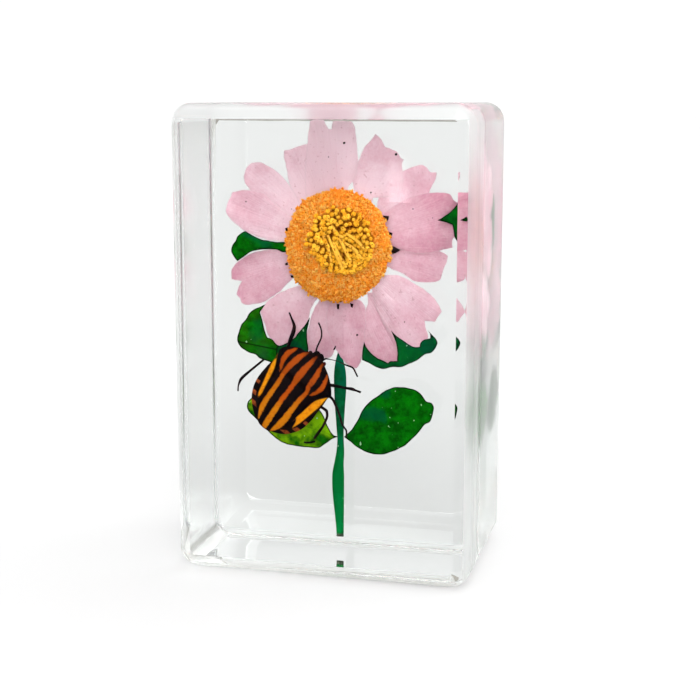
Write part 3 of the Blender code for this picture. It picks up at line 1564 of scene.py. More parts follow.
@dataclass
class FloretScatter:
    """A Geometry Nodes tree that sets small florets on the disc's bed.

    Its gap is in metres, comb is the way that matted florets lean, and inner picks the inner patch.
    """

    name: str
    gap: float
    comb: Triple
    seed: int
    inner: bool
    smallest: float
    largest: float
    jitter: float
    most_dense: float = 9.0e7
    sockets: dict[str, str] = field(default_factory=dict)

    def tree(self, material: Material) -> NodeTree:
        """Build the tree: points on the bed, a floret on each, turned, realized and dressed.

        Args:
            material: The florets' material.

        Returns:
            The node tree.
        """
        tree = bpy.data.node_groups.new(self.name, "GeometryNodeTree")
        inputs = {"Bed": "Geometry", "Floret": "Object", "Gap": "Float", "Comb": "Vector", "Seed": "Int"}
        for label, kind in inputs.items():
            made = tree.interface.new_socket(name=label, in_out="INPUT", socket_type="NodeSocket" + kind)
            self.sockets[label] = made.identifier
        tree.interface.new_socket(name="Florets", in_out="OUTPUT", socket_type="NodeSocketGeometry")
        entry = tree.nodes.new("NodeGroupInput").outputs
        leave = tree.nodes.new("NodeGroupOutput")

        def add(kind: str, values: dict, output: str | int = 0, **settings: object) -> Socket:
            """Add a node to the tree and hand back one of its outputs."""
            return add_node(tree, kind, values, **settings).outputs[output]

        def read(label: str) -> Socket:
            """A number that the bed carries at each point."""
            kind = "GeometryNodeInputNamedAttribute"
            return add(kind, {"Name": label}, "Attribute", data_type="FLOAT")

        def chance(low: float, high: float, salt: int) -> Socket:
            """A random number for each floret."""
            values = {2: low, 3: high, "Seed": self.seed + salt}
            return add("FunctionNodeRandomValue", values, "Value", data_type="FLOAT")

        here = read("inner")
        if not self.inner:
            here = add("ShaderNodeMath", {0: 1.0, 1: here}, operation="SUBTRACT")
        factor = add("ShaderNodeMath", {0: here, 1: read("facing")}, operation="MULTIPLY")
        spread = add_node(
            tree,
            "GeometryNodeDistributePointsOnFaces",
            {
                "Mesh": entry["Bed"],
                "Distance Min": entry["Gap"],
                "Density Max": self.most_dense,
                "Density Factor": factor,
                "Seed": entry["Seed"],
            },
            distribute_method="POISSON",
        ).outputs
        shaken = {0: (-self.jitter,) * 3, 1: (self.jitter,) * 3, "Seed": self.seed + 1}
        shake = add("FunctionNodeRandomValue", shaken, "Value", data_type="FLOAT_VECTOR")
        pull = add("ShaderNodeVectorMath", {0: entry["Comb"], "Scale": read("lean")}, operation="SCALE")
        combed = add("ShaderNodeVectorMath", {0: spread["Normal"], 1: pull})
        aimed = add("ShaderNodeVectorMath", {0: combed, 1: shake})
        turned = add("FunctionNodeAlignRotationToVector", {"Vector": aimed}, axis="Z")
        spin_angles = add("ShaderNodeCombineXYZ", {2: chance(0.0, math.tau, 2)})
        spin = add("FunctionNodeEulerToRotation", {0: spin_angles})
        turns = {"Rotation": turned, "Rotate By": spin}
        rotated = add("FunctionNodeRotateRotation", turns, rotation_space="LOCAL")
        source = add("GeometryNodeObjectInfo", {"Object": entry["Floret"]}, "Geometry")
        instances = {
            "Points": spread["Points"],
            "Instance": source,
            "Rotation": rotated,
            "Scale": chance(self.smallest, self.largest, 3),
        }
        placed = add("GeometryNodeInstanceOnPoints", instances)
        tints = {"Geometry": placed, "Name": "tint", "Value": chance(0.0, 1.0, 4)}
        tinted = add("GeometryNodeStoreNamedAttribute", tints, data_type="FLOAT", domain="INSTANCE")
        real = add("GeometryNodeRealizeInstances", {0: tinted})
        dressed = add("GeometryNodeSetMaterial", {"Geometry": real, "Material": material})
        tree.links.new(dressed, leave.inputs[0])
        return tree

    def build(self, bed: Object, floret: Object, finish: FloretFinish) -> None:
        """Scatter the florets and keep them as one plain mesh.

        Args:
            bed: The object that they grow on.
            floret: One floret, pointing along +Z.
            finish: Their finish.
        """
        material = finish.build()
        carrier = linked(self.name, bed.data.copy())
        modifier = carrier.modifiers.new(self.name, "NODES")
        tree = self.tree(material)
        modifier.node_group = tree
        modifier[self.sockets["Floret"]] = floret
        modifier[self.sockets["Gap"]] = self.gap
        modifier[self.sockets["Comb"]] = self.comb
        modifier[self.sockets["Seed"]] = self.seed
        graph = bpy.context.evaluated_depsgraph_get()
        mesh = bpy.data.meshes.new_from_object(
            carrier.evaluated_get(graph), preserve_all_data_layers=True, depsgraph=graph
        )
        bpy.data.objects.remove(carrier)
        bpy.data.objects.remove(floret)
        bpy.data.node_groups.remove(tree)
        mesh.name = self.name
        for polygon in mesh.polygons:
            polygon.use_smooth = True
        finished_object(self.name, mesh, material)


@dataclass(frozen=True)
class FloretShape:
    """One floret as a turned, slightly bent shape that points along +Z, in millimetres.

    Each ring is (radius, height, painted shade), from its base to its mouth; painted shade darkens its foot
    and the inside of its mouth. lobes is how far every second side is pulled in at the mouth, and bend is how
    far the tip leans sideways.
    """

    name: str
    rings: tuple[Triple, ...]
    sides: int
    lobes: float
    bend: float

    def build(self) -> Object:
        """Make the floret.

        Returns:
            The floret, as an object without a finish.
        """
        bm = bmesh.new()
        layer = vertex_layer(bm, "hollow")
        top = max(height for _, height, _ in self.rings)
        loops = []
        for radius, height, hollow in self.rings:
            ring = []
            lean = self.bend * (height / top) ** 2
            for side in range(self.sides):
                turn = math.tau * side / self.sides
                pull = 1.0 - (self.lobes * height / top if side % 2 else 0.0)
                across = (radius * pull * math.cos(turn) + lean) * MM
                spot = bm.verts.new((across, radius * pull * math.sin(turn) * MM, height * MM))
                # painted shade of this ring's vertices
                spot[layer] = hollow
                ring.append(spot)
            loops.append(ring)
        add_walls(bm, loops)
        bm.faces.new(loops[0][::-1])
        bm.faces.new(loops[-1])
        return linked(self.name, mesh_from(bm, self.name))


RING_FLORET = FloretShape(
    "ring_floret",
    ((0.10, -0.12, 0.8), (0.13, 0.10, 0.2), (0.20, 0.27, 0.0), (0.13, 0.31, 0.1), (0.04, 0.20, 1.0)),
    sides=6, lobes=0.45, bend=0.12,
)
ROD_FLORET = FloretShape(
    "rod_floret",
    ((0.17, -0.2, 1.0), (0.22, 0.25, 1.0), (0.26, 0.52, 0.6), (0.31, 0.76, 0.1), (0.28, 0.93, 0.0),
     (0.15, 1.04, 0.0)),
    sides=8, lobes=0.0, bend=0.10,
)


def build_florets(bed: Object) -> None:
    """Set the orange ring florets and the yellow rod florets on the bed.

    Args:
        bed: The disc's bed.
    """
    # The third colour of each finish is the florets' painted shade, in their hollows and at their feet.
    orange = FloretFinish(
        "orange_floret", (1.0, 0.70, 0.16), (1.0, 0.46, 0.04), (0.78, 0.15, 0.010), 0.7, 0.5
    )
    ring = FloretScatter("orange_florets", 0.24 * MM, (0.0, 0.0, 0.0), SEED, False, 0.7, 1.5, 0.9)
    ring.build(bed, RING_FLORET.build(), orange)
    yellow = FloretFinish(
        "yellow_floret", (1.0, 0.57, 0.05), (0.90, 0.41, 0.020), (0.22, 0.05, 0.003), 0.95, 0.3
    )
    heart = FloretScatter("yellow_florets", 0.44 * MM, (1.5, 0.0, -2.2), SEED + 21, True, 0.84, 1.08, 0.2)
    heart.build(bed, ROD_FLORET.build(), yellow)


# ---------- Stem and leaves ----------


@dataclass(frozen=True)
class LeafShape:
    """One leaf: its depth in millimetres, how yellow it is, its outline and its midrib in the picture."""

    name: str
    depth: float
    tint: float
    spots: tuple[Spot, ...]
    rib: tuple[Spot, Spot]
    ribbed: bool = False


LEAVES = (
    LeafShape("leaf_left", 6.55, 0.0, (
        (245.5, 231), (252, 235), (259, 238.5), (267, 240.5), (276, 242), (284, 242), (292, 245),
        (290, 252), (282, 252), (276, 249.5), (262, 249.5), (252, 251.5), (247, 254.5), (242, 258),
        (237.5, 261), (234, 257), (231.3, 252), (232, 246), (235.5, 241), (237, 237), (241, 233),
    ), ((234, 250), (284, 246))),
    LeafShape("leaf_right", 6.6, -0.2, (
        (437.5, 220.5), (443, 217), (449, 213), (455, 207), (461, 198), (467, 197), (470.5, 212),
        (471, 232), (468, 250), (462.5, 252), (458, 243), (454.3, 236), (453.3, 229), (452.5, 224.8),
        (445, 222.3),
    ), ((438, 220), (470, 218))),
    LeafShape("leaf_lower_left", 6.7, 0.05, (
        (266, 304), (259.5, 307), (253.5, 309.5), (249, 313.5), (246, 319), (241, 325), (238.8, 332),
        (237.3, 340), (239.5, 345.5), (245, 350.5), (250, 353), (255.5, 354.5), (258.5, 357.5), (264, 360),
        (272, 362.5), (283, 364), (290, 356), (284, 348), (277, 344.5), (272, 339), (267.5, 337.5),
        (264.5, 329), (262.5, 320), (260, 312.5),
    ), ((240, 342), (284, 351)), ribbed=True),
    LeafShape("leaf_spike", 6.6, -0.5, (
        (310, 317), (304.5, 325.5), (299, 332), (294.5, 337.5), (287, 343), (277, 346.5), (276, 354),
        (286, 362), (302, 360), (308, 351), (307.3, 341), (307, 331), (308.5, 324),
    ), ((309, 318), (290, 358))),
    LeafShape("leaf_lower_right", 6.65, -0.6, (
        (364, 342), (367, 348), (371.5, 353.5), (377, 358), (383, 360.5), (388, 363), (390, 361.3),
        (397, 361), (397.6, 352), (395.7, 342), (391, 330.5), (396, 335.5), (402, 339.5), (409, 344.5),
        (415, 347), (419.7, 346.8), (420.5, 342.5), (424, 339.5), (430, 338.5), (430, 334), (427.5, 329.5),
        (432, 334.8), (436, 339), (437.6, 343.5), (435, 349), (431, 353), (424.5, 354.7), (418, 359.7),
        (410, 363.3), (402, 366.8), (391, 367.3), (383.5, 369), (376, 367), (369, 363), (362, 360),
        (362.3, 352),
    ), ((364, 352), (436, 344))),
    LeafShape("leaf_low_right", 7.4, 0.0, (
        (344, 437), (349, 432), (354, 426), (358.5, 418.5), (362, 411), (367, 404.5), (373, 399),
        (380, 394.5), (387, 389.7), (394, 387.3), (402, 387), (410, 388.3), (417, 390.7), (422, 395),
        (426, 401), (431.5, 403), (434, 408), (432.5, 415.5), (430, 422), (424.5, 425), (419, 432),
        (412, 439), (404, 446), (394, 451), (383, 454.5), (373, 454), (364, 451), (356, 446.5),
        (350, 441.5),
    ), ((346, 437), (434, 410))),
    LeafShape("leaf_low_left", 7.4, 1.3, (
        (340, 436.5), (334, 435.5), (330, 430.5), (326.8, 424), (324, 416.5), (319, 409.5), (308, 400),
        (290, 394), (268, 393), (255, 396), (248, 401), (246.8, 406.5), (249, 412), (255, 417.5),
        (262, 425), (270, 433), (277, 439), (285, 443.5), (294, 445.8), (306, 447.3), (319, 447.5),
        (326, 443.5), (332, 439),
    ), ((338, 437), (250, 408))),
)


@dataclass
class Foliage:
    """The flat pressed stem and the leaves."""

    thickness: float = 0.14 * MM
    rib_height: float = 0.06 * MM
    wave_height: float = 0.14 * MM
    stem_depth: float = 7.45 * MM
    stem_flatness: float = 0.4
    stem_sides: int = 18
    stem: tuple[Joint, ...] = (
        (338.5, 352, 1.2, 0.0), (339.5, 360, 7.5, 0.0), (340, 373, 12.0, 0.0), (340.2, 388, 12.3, 0.0),
        (340, 402, 10.8, 0.0), (340, 418, 8.6, 0.0), (340.2, 431, 7.0, 0.0), (340.5, 440, 6.5, 0.0),
        (340.3, 452, 8.0, 0.0), (339.0, 463, 9.5, 0.0), (338.2, 474, 12.0, 0.0), (338.2, 488, 12.0, 0.0),
        (338.8, 502, 10.8, 0.0), (339.5, 516, 9.0, 0.0), (340.0, 528, 7.8, 0.0), (340.2, 536.3, 7.2, 0.0),
    )

    def leaf_relief(self, shape: LeafShape, salt: float) -> Relief:
        """A fold along the midrib, with a slow wave.

        Args:
            shape: The leaf.
            salt: Number that picks the wave.

        Returns:
            The leaf's relief.
        """
        start = np.array(shape.rib[0])
        span = np.array(shape.rib[1]) - start
        length = float(np.linalg.norm(span))

        def relief(across: float, down: float) -> float:
            """Height of the leaf at a picture point."""
            off = np.array((across, down)) - start
            side = abs(off[0] * span[1] - off[1] * span[0]) / length
            wave = self.wave_height * wander(across, down, 26.0, salt)
            return self.rib_height * smoothstep(6.0, 0.0, side) + wave

        return relief

    def leaf_grain(self, shape: LeafShape) -> Callable[[float, float], Spot]:
        """Grain along and across the midrib, in picture pixels over ten.

        Args:
            shape: The leaf.

        Returns:
            A function from a picture point to its grain.
        """
        start = np.array(shape.rib[0])
        span = np.array(shape.rib[1]) - start
        span = span / np.linalg.norm(span)

        def grain(across: float, down: float) -> Spot:
            """Grain of the leaf at a picture point."""
            off = np.array((across, down)) - start
            along = float(off @ span) / 10
            side = float(off[0] * span[1] - off[1] * span[0]) / 10
            return along - abs(side) * 0.7, side * 0.3

        return grain

    def build(self) -> None:
        """Make the stem and every leaf."""
        plain = LeafFinish().build()
        ribbed = LeafFinish("ribbed_leaf", rib=0.85).build()
        for index, shape in enumerate(LEAVES):
            finish = ribbed if shape.ribbed else plain
            pillow = Pillow(
                shape.spots,
                shape.depth * MM,
                self.thickness,
                self.thickness,
                edge=1.8,
                spacing=1.9,
                relief=self.leaf_relief(shape, index * 2.3),
                grain=self.leaf_grain(shape),
                ragged=0.4,
                salt=index * 1.3 + 40.0,
                tint=shape.tint,
            )
            finished_object(shape.name, pillow.mesh(shape.name), finish)
        bm = bmesh.new()
        Stalk(self.stem, self.stem_depth, self.stem_flatness, self.stem_sides).add_to(bm)
        stem_finish = LeafFinish(
            "stem", (0.001, 0.05, 0.014), (0.0015, 0.085, 0.030), (0.001, 0.085, 0.045),
            edge_width=2.4, rib=0.0, foot=(0.0006, 0.112, 0.020),
        )
        finished_object("stem", mesh_from(bm, "stem"), stem_finish.build())


# ---------- The bug ----------

STRIPES = (
    Stripe((
        (229, 321, 10), (250, 312, 30), (286, 296, 48), (314, 286, 55), (386, 279, 55),
        (457, 300, 42), (500, 321, 28), (530, 331, 0),
    )),
    Stripe((
        (190, 432, 24), (243, 410, 46), (314, 389, 68), (386, 379, 62), (457, 373, 58), (529, 376, 45),
        (600, 386, 48), (743, 397, 52), (814, 403, 54), (886, 413, 58), (957, 430, 52), (1035, 456, 20),
    )),
    Stripe((
        (140, 526, 14), (171, 526, 20), (240, 520, 44), (314, 514, 64), (457, 510, 76), (529, 517, 53),
        (600, 521, 51), (743, 526, 53), (829, 533, 57), (914, 541, 61), (1000, 550, 63), (1064, 560, 44),
    )),
    Stripe((
        (186, 622, 24), (243, 626, 36), (314, 641, 58), (386, 649, 58), (457, 653, 50), (529, 673, 46),
        (600, 667, 49), (671, 664, 51), (743, 666, 60), (886, 670, 73), (957, 661, 66), (1035, 643, 30),
    )),
    Stripe((
        (240, 722, 14), (271, 734, 30), (314, 749, 44), (357, 759, 52), (400, 764, 56), (457, 750, 42),
        (500, 731, 34), (525, 715, 0),
    )),
)


class Cover(Enum):
    """What covers a plate of the bug."""

    BARRED = "barred rim"
    LEATHER = "wing leather"
    STRIPED = "striped shell"
    HEAD = "darker striped shell"


@dataclass(frozen=True)
class PlateShape:
    """One plate of the bug, with its outline in the bug's own tenths.

    It lies on an arch that starts base above the bug's plane and rises by crown. Its rim is edge picture
    pixels wide, and front and back are its thickness each way. The heights are in millimetres.
    """

    name: str
    cover: Cover
    base: float
    crown: float
    front: float
    back: float
    edge: float
    spots: tuple[Spot, ...]


PLATES = (
    PlateShape("bug_abdomen", Cover.BARRED, 0.0, 0.5, 0.35, 1.3, 14.0, (
        (230, 400), (205, 500), (196, 600), (197, 700), (215, 790), (252, 868), (300, 932), (365, 990),
        (440, 1036), (517, 1056), (600, 1056), (676, 1032), (751, 991), (806, 939), (861, 850), (884, 720),
        (882, 600), (880, 500), (860, 400), (700, 330), (400, 330),
    )),
    PlateShape("bug_wing_left", Cover.LEATHER, 0.25, 0.75, 0.12, 0.3, 2.2, (
        (198, 380), (208, 450), (213, 520), (238, 620), (265, 720), (292, 820), (322, 866), (336, 858),
        (334, 800), (316, 720), (300, 640), (284, 560), (262, 500), (225, 430),
    )),
    PlateShape("bug_wing_right", Cover.LEATHER, 0.25, 0.75, 0.12, 0.3, 2.2, (
        (880, 400), (872, 470), (868, 560), (856, 620), (842, 700), (826, 780), (806, 850), (787, 895),
        (776, 875), (768, 822), (757, 800), (748, 838), (734, 832), (745, 760), (757, 700), (764, 640),
        (775, 570), (792, 520), (840, 450),
    )),
    PlateShape("bug_scutellum", Cover.STRIPED, 0.35, 0.95, 0.3, 0.3, 9.0, (
        (322, 470), (300, 540), (306, 620), (320, 720), (338, 800), (362, 880), (400, 950), (440, 1010),
        (480, 1050), (520, 1064), (590, 1064), (632, 1052), (672, 1016), (712, 950), (742, 880), (748, 800),
        (748, 700), (762, 600), (768, 530), (740, 480), (540, 440),
    )),
    PlateShape("bug_pronotum", Cover.STRIPED, 0.45, 0.95, 0.55, 0.6, 9.0, (
        (410, 205), (440, 178), (500, 168), (560, 168), (620, 182), (655, 205), (720, 240), (790, 290),
        (850, 345), (888, 392), (866, 430), (800, 478), (745, 522), (690, 540), (520, 545), (380, 538),
        (328, 520), (262, 462), (212, 400), (192, 352), (215, 300), (270, 255), (340, 215),
    )),
    PlateShape("bug_head", Cover.HEAD, 0.2, 0.8, 0.4, 0.5, 5.0, (
        (470, 190), (478, 150), (490, 130), (510, 122), (535, 128), (560, 121), (588, 136), (600, 160),
        (612, 195), (580, 230), (500, 230),
    )),
)

LEGS = (
    ((286, 356, 3.2, -0.2), (289.5, 342, 3.4, 0.0), (293, 333, 4.2, 0.1), (294.3, 326, 3.4, 0.1),
     (291.5, 318, 2.0, 0.0), (289.3, 312.5, 1.8, -0.1)),
    ((274, 352, 3.0, -1.25), (266, 357.6, 2.2, -1.1), (262, 361, 2.2, -0.8), (251, 370, 2.4, -0.6),
     (241.5, 378.5, 3.0, -0.7), (238.5, 385, 1.7, -0.7), (238, 391, 1.6, -0.7)),
    ((322, 384, 3.6, -0.3), (333, 385.5, 3.4, -0.4), (346, 388, 2.6, -0.5), (352, 389, 3.4, -0.5),
     (356, 390.5, 2.2, -0.5), (360.8, 392.3, 2.2, -0.5)),
    ((322, 393, 3.4, -0.4), (331.5, 398, 2.8, -0.5), (335.5, 405, 2.6, -0.6), (339.5, 415, 2.4, -0.7),
     (342.5, 425, 2.0, -0.8), (346.2, 430.5, 1.9, -0.9), (346.3, 437, 1.7, -0.9)),
    ((310, 402, 3.4, -0.4), (321, 407, 3.0, -0.5), (326.5, 411, 3.0, -0.5), (327, 417, 2.6, -0.6),
     (323, 426, 2.4, -0.8), (318, 433, 2.8, -0.9), (314.2, 438.5, 2.4, -1.0)),
    ((315, 441.5, 1.8, -1.0), (309, 442.6, 2.0, -1.1), (304, 442.3, 1.8, -1.1)),
)

ANTENNAE = (
    ((315.5, 353, 1.8, 0.3), (317.2, 347, 1.7, 0.2), (321.3, 337.5, 1.6, 0.1), (321.3, 330, 1.6, 0.0),
     (318.5, 322.5, 1.7, 0.0)),
    ((322, 361, 1.8, 0.2), (325.5, 358.8, 1.8, 0.1), (331, 359.6, 0.9, 0.0), (337, 361, 0.9, 0.0),
     (346, 365, 1.6, 0.0), (353, 368, 1.8, 0.0), (357.6, 376.8, 1.5, 0.0)),
    ((333.7, 349.8, 1.3, 0.1), (334.8, 348.2, 1.5, 0.1), (335.6, 346, 1.2, 0.1)),
)


@dataclass
class ShieldBug:
    """The striped shield bug, seen from above, head to the upper right.

    Its own coordinates are tenths of a picture pixel: across its back from left to right, and along it
    from its head to its tail. Its eyes are given in them too.
    """

    middle: Spot = (292.0, 391.0)
    own_middle: Spot = (550.0, 600.0)
    heading: float = math.radians(50.95)
    depth: float = 5.9 * MM
    arch_middle: Spot = (540.0, 560.0)
    arch_reach: Spot = (420.0, 620.0)
    plate_spacing: float = 1.2
    limb_step: float = 1.0
    eyes: tuple[Spot, Spot] = ((452, 188), (628, 190))
    eye_size: Spot = (22, 24)
    eye_sides: int = 10
    eye_arch: Spot = (0.15 * MM, 0.7 * MM)
    eye_thickness: float = 0.3 * MM

    def picture(self, across: float, along: float) -> Spot:
        """The picture point of a place on the bug.

        Args:
            across: The place across its back.
            along: The place along it.

        Returns:
            The picture column and row.
        """
        side = (across - self.own_middle[0]) / 10
        ahead = (self.own_middle[1] - along) / 10
        right = (math.sin(self.heading), math.cos(self.heading))
        front = (math.cos(self.heading), -math.sin(self.heading))
        return (
            self.middle[0] + side * right[0] + ahead * front[0],
            self.middle[1] + side * right[1] + ahead * front[1],
        )

    def own(self, across: float, down: float) -> Spot:
        """The bug's own coordinates of a picture point.

        Args:
            across: Picture column.
            down: Picture row.

        Returns:
            The place across its back and along it.
        """
        off_x = across - self.middle[0]
        off_y = down - self.middle[1]
        side = off_x * math.sin(self.heading) + off_y * math.cos(self.heading)
        ahead = off_x * math.cos(self.heading) - off_y * math.sin(self.heading)
        return self.own_middle[0] + side * 10, self.own_middle[1] - ahead * 10

    def grain(self, across: float, down: float) -> Spot:
        """The bug's own coordinates as grain, from 0 to 1."""
        own = self.own(across, down)
        return own[0] / BUG_SPAN, own[1] / BUG_SPAN

    def back_relief(self, base: float, crown: float) -> Relief:
        """A back that arches across and along the bug.

        Args:
            base: Its height at the bug's rim.
            crown: How far it rises in the middle.

        Returns:
            The back's relief.
        """

        def relief(across: float, down: float) -> float:
            """Height of the back at a picture point."""
            side, along = self.own(across, down)
            wide = 1.0 - ((side - self.arch_middle[0]) / self.arch_reach[0]) ** 2
            long = 1.0 - ((along - self.arch_middle[1]) / self.arch_reach[1]) ** 2
            return base + crown * max(wide, 0.0) * max(long, 0.0)

        return relief

    def build_plates(self) -> None:
        """Make the plates of the bug's back, its rim and its head."""
        finishes = {
            Cover.STRIPED: ShellFinish("striped_shell", stripes=STRIPES),
            Cover.LEATHER: ShellFinish(
                "wing_leather", Wear.PLAIN, front_orange=(0.66, 0.25, 0.004), tail_orange=(0.62, 0.21, 0.003)
            ),
            Cover.BARRED: RimFinish(),
            Cover.HEAD: ShellFinish("head_shell", Wear.DIM, STRIPES),
        }
        materials = {cover: finish.build() for cover, finish in finishes.items()}
        for shape in PLATES:
            pillow = Pillow(
                [self.picture(*spot) for spot in shape.spots],
                self.depth,
                shape.front * MM,
                shape.back * MM,
                edge=shape.edge,
                spacing=self.plate_spacing,
                relief=self.back_relief(shape.base * MM, shape.crown * MM),
                grain=self.grain,
            )
            finished_object(shape.name, pillow.mesh(shape.name), materials[shape.cover])

    def build_eyes(self) -> None:
        """Set a small round eye at each side of the head."""
        bm = bmesh.new()
        wide, long = self.eye_size
        thickness = self.eye_thickness
        relief = self.back_relief(*self.eye_arch)
        for across, along in self.eyes:
            spots = []
            for step in range(self.eye_sides):
                turn = math.tau * step / self.eye_sides
                spots.append(self.picture(across + wide * math.cos(turn), along + long * math.sin(turn)))
            eye = Pillow(spots, self.depth, thickness, thickness, edge=2.2, spacing=0.8, relief=relief)
            eye.add_to(bm)
        finish = LimbFinish("bug_eye", (0.030, 0.004, 0.006), (0.09, 0.01, 0.012))
        finished_object("bug_eyes", mesh_from(bm, "bug_eyes"), finish.build())

    def build_limbs(self, name: str, limbs: Sequence[Sequence[Joint]], material: Material) -> None:
        """Make the legs or the antennae as one piece.

        Args:
            name: The piece's name.
            limbs: Picture points of each limb, with widths in pixels and heights in millimetres.
            material: Their finish.
        """
        bm = bmesh.new()
        for joints in limbs:
            points = [(across, down, width, height * MM) for across, down, width, height in joints]
            Stalk(points, self.depth, step=self.limb_step).add_to(bm)
        finished_object(name, mesh_from(bm, name), material)

    def build(self) -> None:
        """Make every piece of the bug."""
        self.build_plates()
        self.build_eyes()
        dark = LimbFinish("bug_limb").build()
        self.build_limbs("bug_legs", LEGS, dark)
        self.build_limbs("bug_antennae", ANTENNAE, dark)


# ---------- Studio ----------


def flat_piece(name: str, corners: Sequence[Sequence[float]], faces: Sequence[Sequence[int]]) -> Object:
    """A piece of the studio made of flat faces, linked to the scene.

    Args:
        name: Its name.
        corners: Its corners.
        faces: The corners' numbers, for each face.

    Returns:
        The new object, which has no finish yet.
    """
    mesh = bpy.data.meshes.new(name)
    mesh.from_pydata(corners, [], faces)
    return linked(name, mesh)


@dataclass(frozen=True)
class LightZone:
    """A soft brighter or darker zone of the surround, about a direction."""

    towards: Triple
    starts: float
    full: float
    amount: float

    def light(self, graph: NodeGraph) -> Socket:
        """What the zone adds to the surround's light."""
        aim = Vector(self.towards).normalized()
        facing = graph.node("ShaderNodeVectorMath", {0: graph.place, 1: aim}, operation="DOT_PRODUCT")
        return graph.ramp(facing.outputs["Value"], self.starts, self.full, 0.0, self.amount)


@dataclass(frozen=True)
class Sheet:
    """A dark or grey sheet near the block that shows only in its mirrored or in its refracted light.

    Its corners run in pairs, left and right, from its first edge to its last.
    """

    name: str
    shade: Colour
    other_shade: Colour
    mirrored: bool
    corners: tuple[Triple, ...]
    felt_scale: float = 30.0

    def build(self) -> None:
        """Hang the sheet."""
        faces = [(first, first + 1, first + 3, first + 2) for first in range(0, len(self.corners) - 2, 2)]
        piece = flat_piece(self.name, self.corners, faces)
        graph = NodeGraph(self.name)
        felt = graph.blend(self.shade, self.other_shade, graph.noise(self.felt_scale))
        values = {"Base Color": felt, "Roughness": 1.0, "Specular IOR Level": 0.0}
        piece.data.materials.append(graph.finish(graph.node("ShaderNodeBsdfPrincipled", values).outputs[0]))
        piece.visible_camera = False
        piece.visible_diffuse = False
        piece.visible_shadow = False
        piece.visible_glossy = self.mirrored
        piece.visible_transmission = not self.mirrored


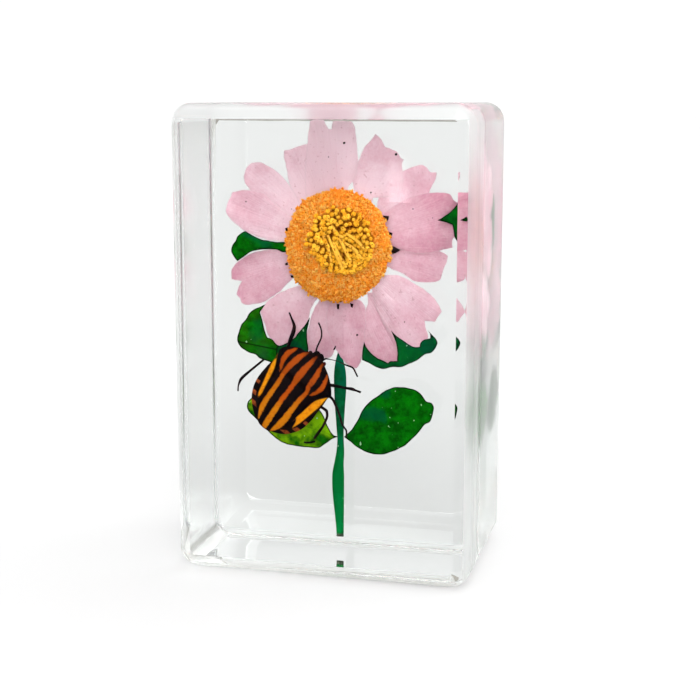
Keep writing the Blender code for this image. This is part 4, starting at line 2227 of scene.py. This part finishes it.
@dataclass
class Studio:
    """A plain pale floor with painted shadows under and beside the block, soft light from all round, and the
    sheets and soft box that the resin shows.

    strip_in_picture is the left, top, right and bottom of the soft box's sheen in the picture. The fades
    are shares of the soft box's width or height.
    """

    floor_size: float = 8.0
    floor_gap: float = 0.25 * MM
    floor_shade: Colour = (0.20, 0.20, 0.20)
    floor_shade_share: float = 0.98
    floor_mottle_scale: float = 3.0
    floor_light: float = 0.478
    base_light: float = 1.04
    least_light: float = 0.4
    footprint: Spot = (18.65 * MM, 11.8 * MM)
    footprint_fade: float = 4.0 * MM
    # painted shadow: the share of the floor's glow that is left under the block
    painted_shadow_glow_share: float = 0.6
    zones: tuple[LightZone, ...] = (
        LightZone((0.12, -0.97, 0.12), 0.62, 0.99, 22.8),
        LightZone((0.45, 0.42, 0.79), 0.80, 0.97, 3.8),
        LightZone((0.0, -0.45, 0.90), 0.78, 0.97, 2.5),
        LightZone((-0.28, 0.75, 0.60), 0.82, 0.98, -0.06),
        LightZone((0.50, 0.80, 0.32), 0.93, 0.985, -0.75),
        LightZone((-0.24, -0.91, 0.32), 0.90, 0.96, -17.7),
        LightZone((0.32, 0.72, 0.62), 0.93, 0.985, -2.4),
        LightZone((0.50, -0.83, 0.23), 0.955, 0.985, -17.4),
    )
    sheets: tuple[Sheet, ...] = (
        Sheet(
            "black_flag", (0.004, 0.004, 0.004), (0.002, 0.002, 0.002), True,
            ((-1.0, -0.014, 0.001), (1.0, -0.014, 0.001), (-1.0, -0.9, 0.001), (1.0, -0.9, 0.001),
             (-1.0, -0.95, 1.6), (1.0, -0.95, 1.6)),
        ),
        Sheet(
            "grey_card", (0.03, 0.03, 0.09), (0.06, 0.06, 0.13), False,
            ((0.07, -0.04, 0.036), (0.07, 0.080, 0.036), (0.07, -0.04, 0.09), (0.07, 0.080, 0.09)),
        ),
        Sheet(
            "far_card", (0.150, 0.143, 0.128), (0.170, 0.163, 0.148), False,
            ((-0.37, 0.9, 0.03), (0.5, 0.9, 0.03), (-0.37, 0.9, 0.28), (0.5, 0.9, 0.28)),
        ),
        # painted shadow: a grey sheet on the floor beside the block, seen only through the resin, stands in
        # for the block's shadow there
        Sheet(
            "floor_mat", (0.36, 0.36, 0.36), (0.44, 0.44, 0.44), False,
            ((0.0190, -0.008, 0.0001), (0.036, -0.008, 0.0001), (0.0190, 0.040, 0.0001),
             (0.050, 0.040, 0.0001)),
        ),
    )
    strip_in_picture: tuple[float, float, float, float] = (383.0, 140.0, 416.0, 335.0)
    strip_distance: float = 0.6
    strip_light: float = 4.5
    strip_left_fade: Spot = (0.0, 0.35)
    strip_right_fade: Spot = (0.55, 1.0)
    strip_foot_fade: Spot = (0.0, 0.25)
    strip_head_fade: Spot = (0.75, 1.0)

    def build_floor(self) -> None:
        """Lay the floor just below the block's base, with a weak painted shadow under the block, where its
        glow is dimmer.
        """
        half = self.floor_size / 2
        corners = [(-half, -half), (half, -half), (half, half), (-half, half)]
        floor = flat_piece("studio_floor", [(x, y, -self.floor_gap) for x, y in corners], [(0, 1, 2, 3)])
        graph = NodeGraph("studio_floor")
        other_shade = tuple(self.floor_shade_share * part for part in self.floor_shade)
        shade = graph.blend(self.floor_shade, other_shade, graph.noise(self.floor_mottle_scale))
        places = graph.node("ShaderNodeSeparateXYZ", {0: graph.place}).outputs
        under = 1.0
        for place, half_size in zip(places, self.footprint):
            reach = graph.maths("ABSOLUTE", place)
            within = graph.ramp(reach, half_size - self.footprint_fade, half_size, 1.0, 0.0)
            under = graph.product(under, within)
        # painted shadow: the floor's glow fades to this under the block's footprint
        painted_shadow_glow = self.floor_light * self.painted_shadow_glow_share
        values = {
            "Base Color": shade,
            "Roughness": 1.0,
            "Specular IOR Level": 0.0,
            "Emission Color": WHITE,
            "Emission Strength": graph.ramp(under, 0.0, 1.0, self.floor_light, painted_shadow_glow),
        }
        body = graph.node("ShaderNodeBsdfPrincipled", values)
        floor.data.materials.append(graph.finish(body.outputs[0]))

    def build_sky(self) -> None:
        """Make the white surround, with its brighter and darker zones."""
        graph = NodeGraph("studio_surround", world=True)
        lit = graph.chained("ADD", self.base_light, *(zone.light(graph) for zone in self.zones))
        lit = graph.highest(lit, self.least_light)
        background = graph.node("ShaderNodeBackground", {"Color": WHITE, "Strength": lit})
        output = graph.node("ShaderNodeOutputWorld")
        graph.tree.links.new(background.outputs[0], output.inputs["Surface"])
        bpy.context.scene.world = graph.block

    def strip_corners(self) -> list[Vector]:
        """The soft box's corners, each where the front face mirrors it to its picture point.

        Returns:
            The corners, from the bottom left round to the top left.
        """
        left, top, right, bottom = self.strip_in_picture
        corners = []
        for across, down in ((left, bottom), (right, bottom), (right, top), (left, top)):
            entry, _ = EYE.ray(across, down)
            heading = (entry - Vector(EYE.place)).normalized()
            heading.y = -heading.y
            corners.append(entry + heading * self.strip_distance)
        return corners

    def build_strip(self) -> None:
        """Hang the narrow soft box that shows as a faint upright sheen on the front face."""
        box = flat_piece("strip_box", self.strip_corners(), [(0, 1, 2, 3)])
        layer = box.data.uv_layers.new(name="grain")
        for loop, spot in zip(layer.data, ((0, 0), (1, 0), (1, 1), (0, 1))):
            loop.uv = spot
        graph = NodeGraph("strip_box")
        across, up = graph.grain()
        power = graph.product(
            graph.ramp(across, *self.strip_left_fade),
            graph.ramp(across, *self.strip_right_fade, 1.0, 0.0),
            graph.ramp(up, *self.strip_foot_fade),
            graph.ramp(up, *self.strip_head_fade, 1.0, 0.0),
            self.strip_light,
        )
        glow = graph.node("ShaderNodeEmission", {"Color": WHITE, "Strength": power})
        box.data.materials.append(graph.finish(glow.outputs[0]))
        box.visible_camera = False
        box.visible_diffuse = False
        box.visible_transmission = False
        box.visible_shadow = False

    def tune(self) -> None:
        """Let light find its way through the resin and keep whites white."""
        scene = bpy.context.scene
        scene.view_settings.view_transform = "Standard"
        scene.cycles.use_denoising = True
        scene.cycles.max_bounces = 24
        scene.cycles.transmission_bounces = 24
        scene.cycles.glossy_bounces = 16
        scene.cycles.diffuse_bounces = 5
        scene.cycles.caustics_refractive = True
        scene.cycles.caustics_reflective = True
        scene.cycles.blur_glossy = 0.0
        scene.cycles.sample_clamp_indirect = 10.0

    def build(self) -> None:
        """Set up the floor, the surround, the sheets and the soft box."""
        self.build_floor()
        self.build_sky()
        for sheet in self.sheets:
            sheet.build()
        self.build_strip()
        self.tune()


def main() -> None:
    """Build the block and everything sealed in it."""
    logging.basicConfig(level=logging.INFO, format="%(message)s", stream=sys.stdout)
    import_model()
    EYE.build()
    ResinCasting().build()
    daisy = Daisy()
    daisy.build_petals()
    daisy.build_bracts()
    daisy.build_calyx()
    daisy.build_specks()
    build_florets(daisy.build_disc())
    daisy.build_strands()
    Foliage().build()
    ShieldBug().build()
    Studio().build()


if __name__ == "__main__":
    main()
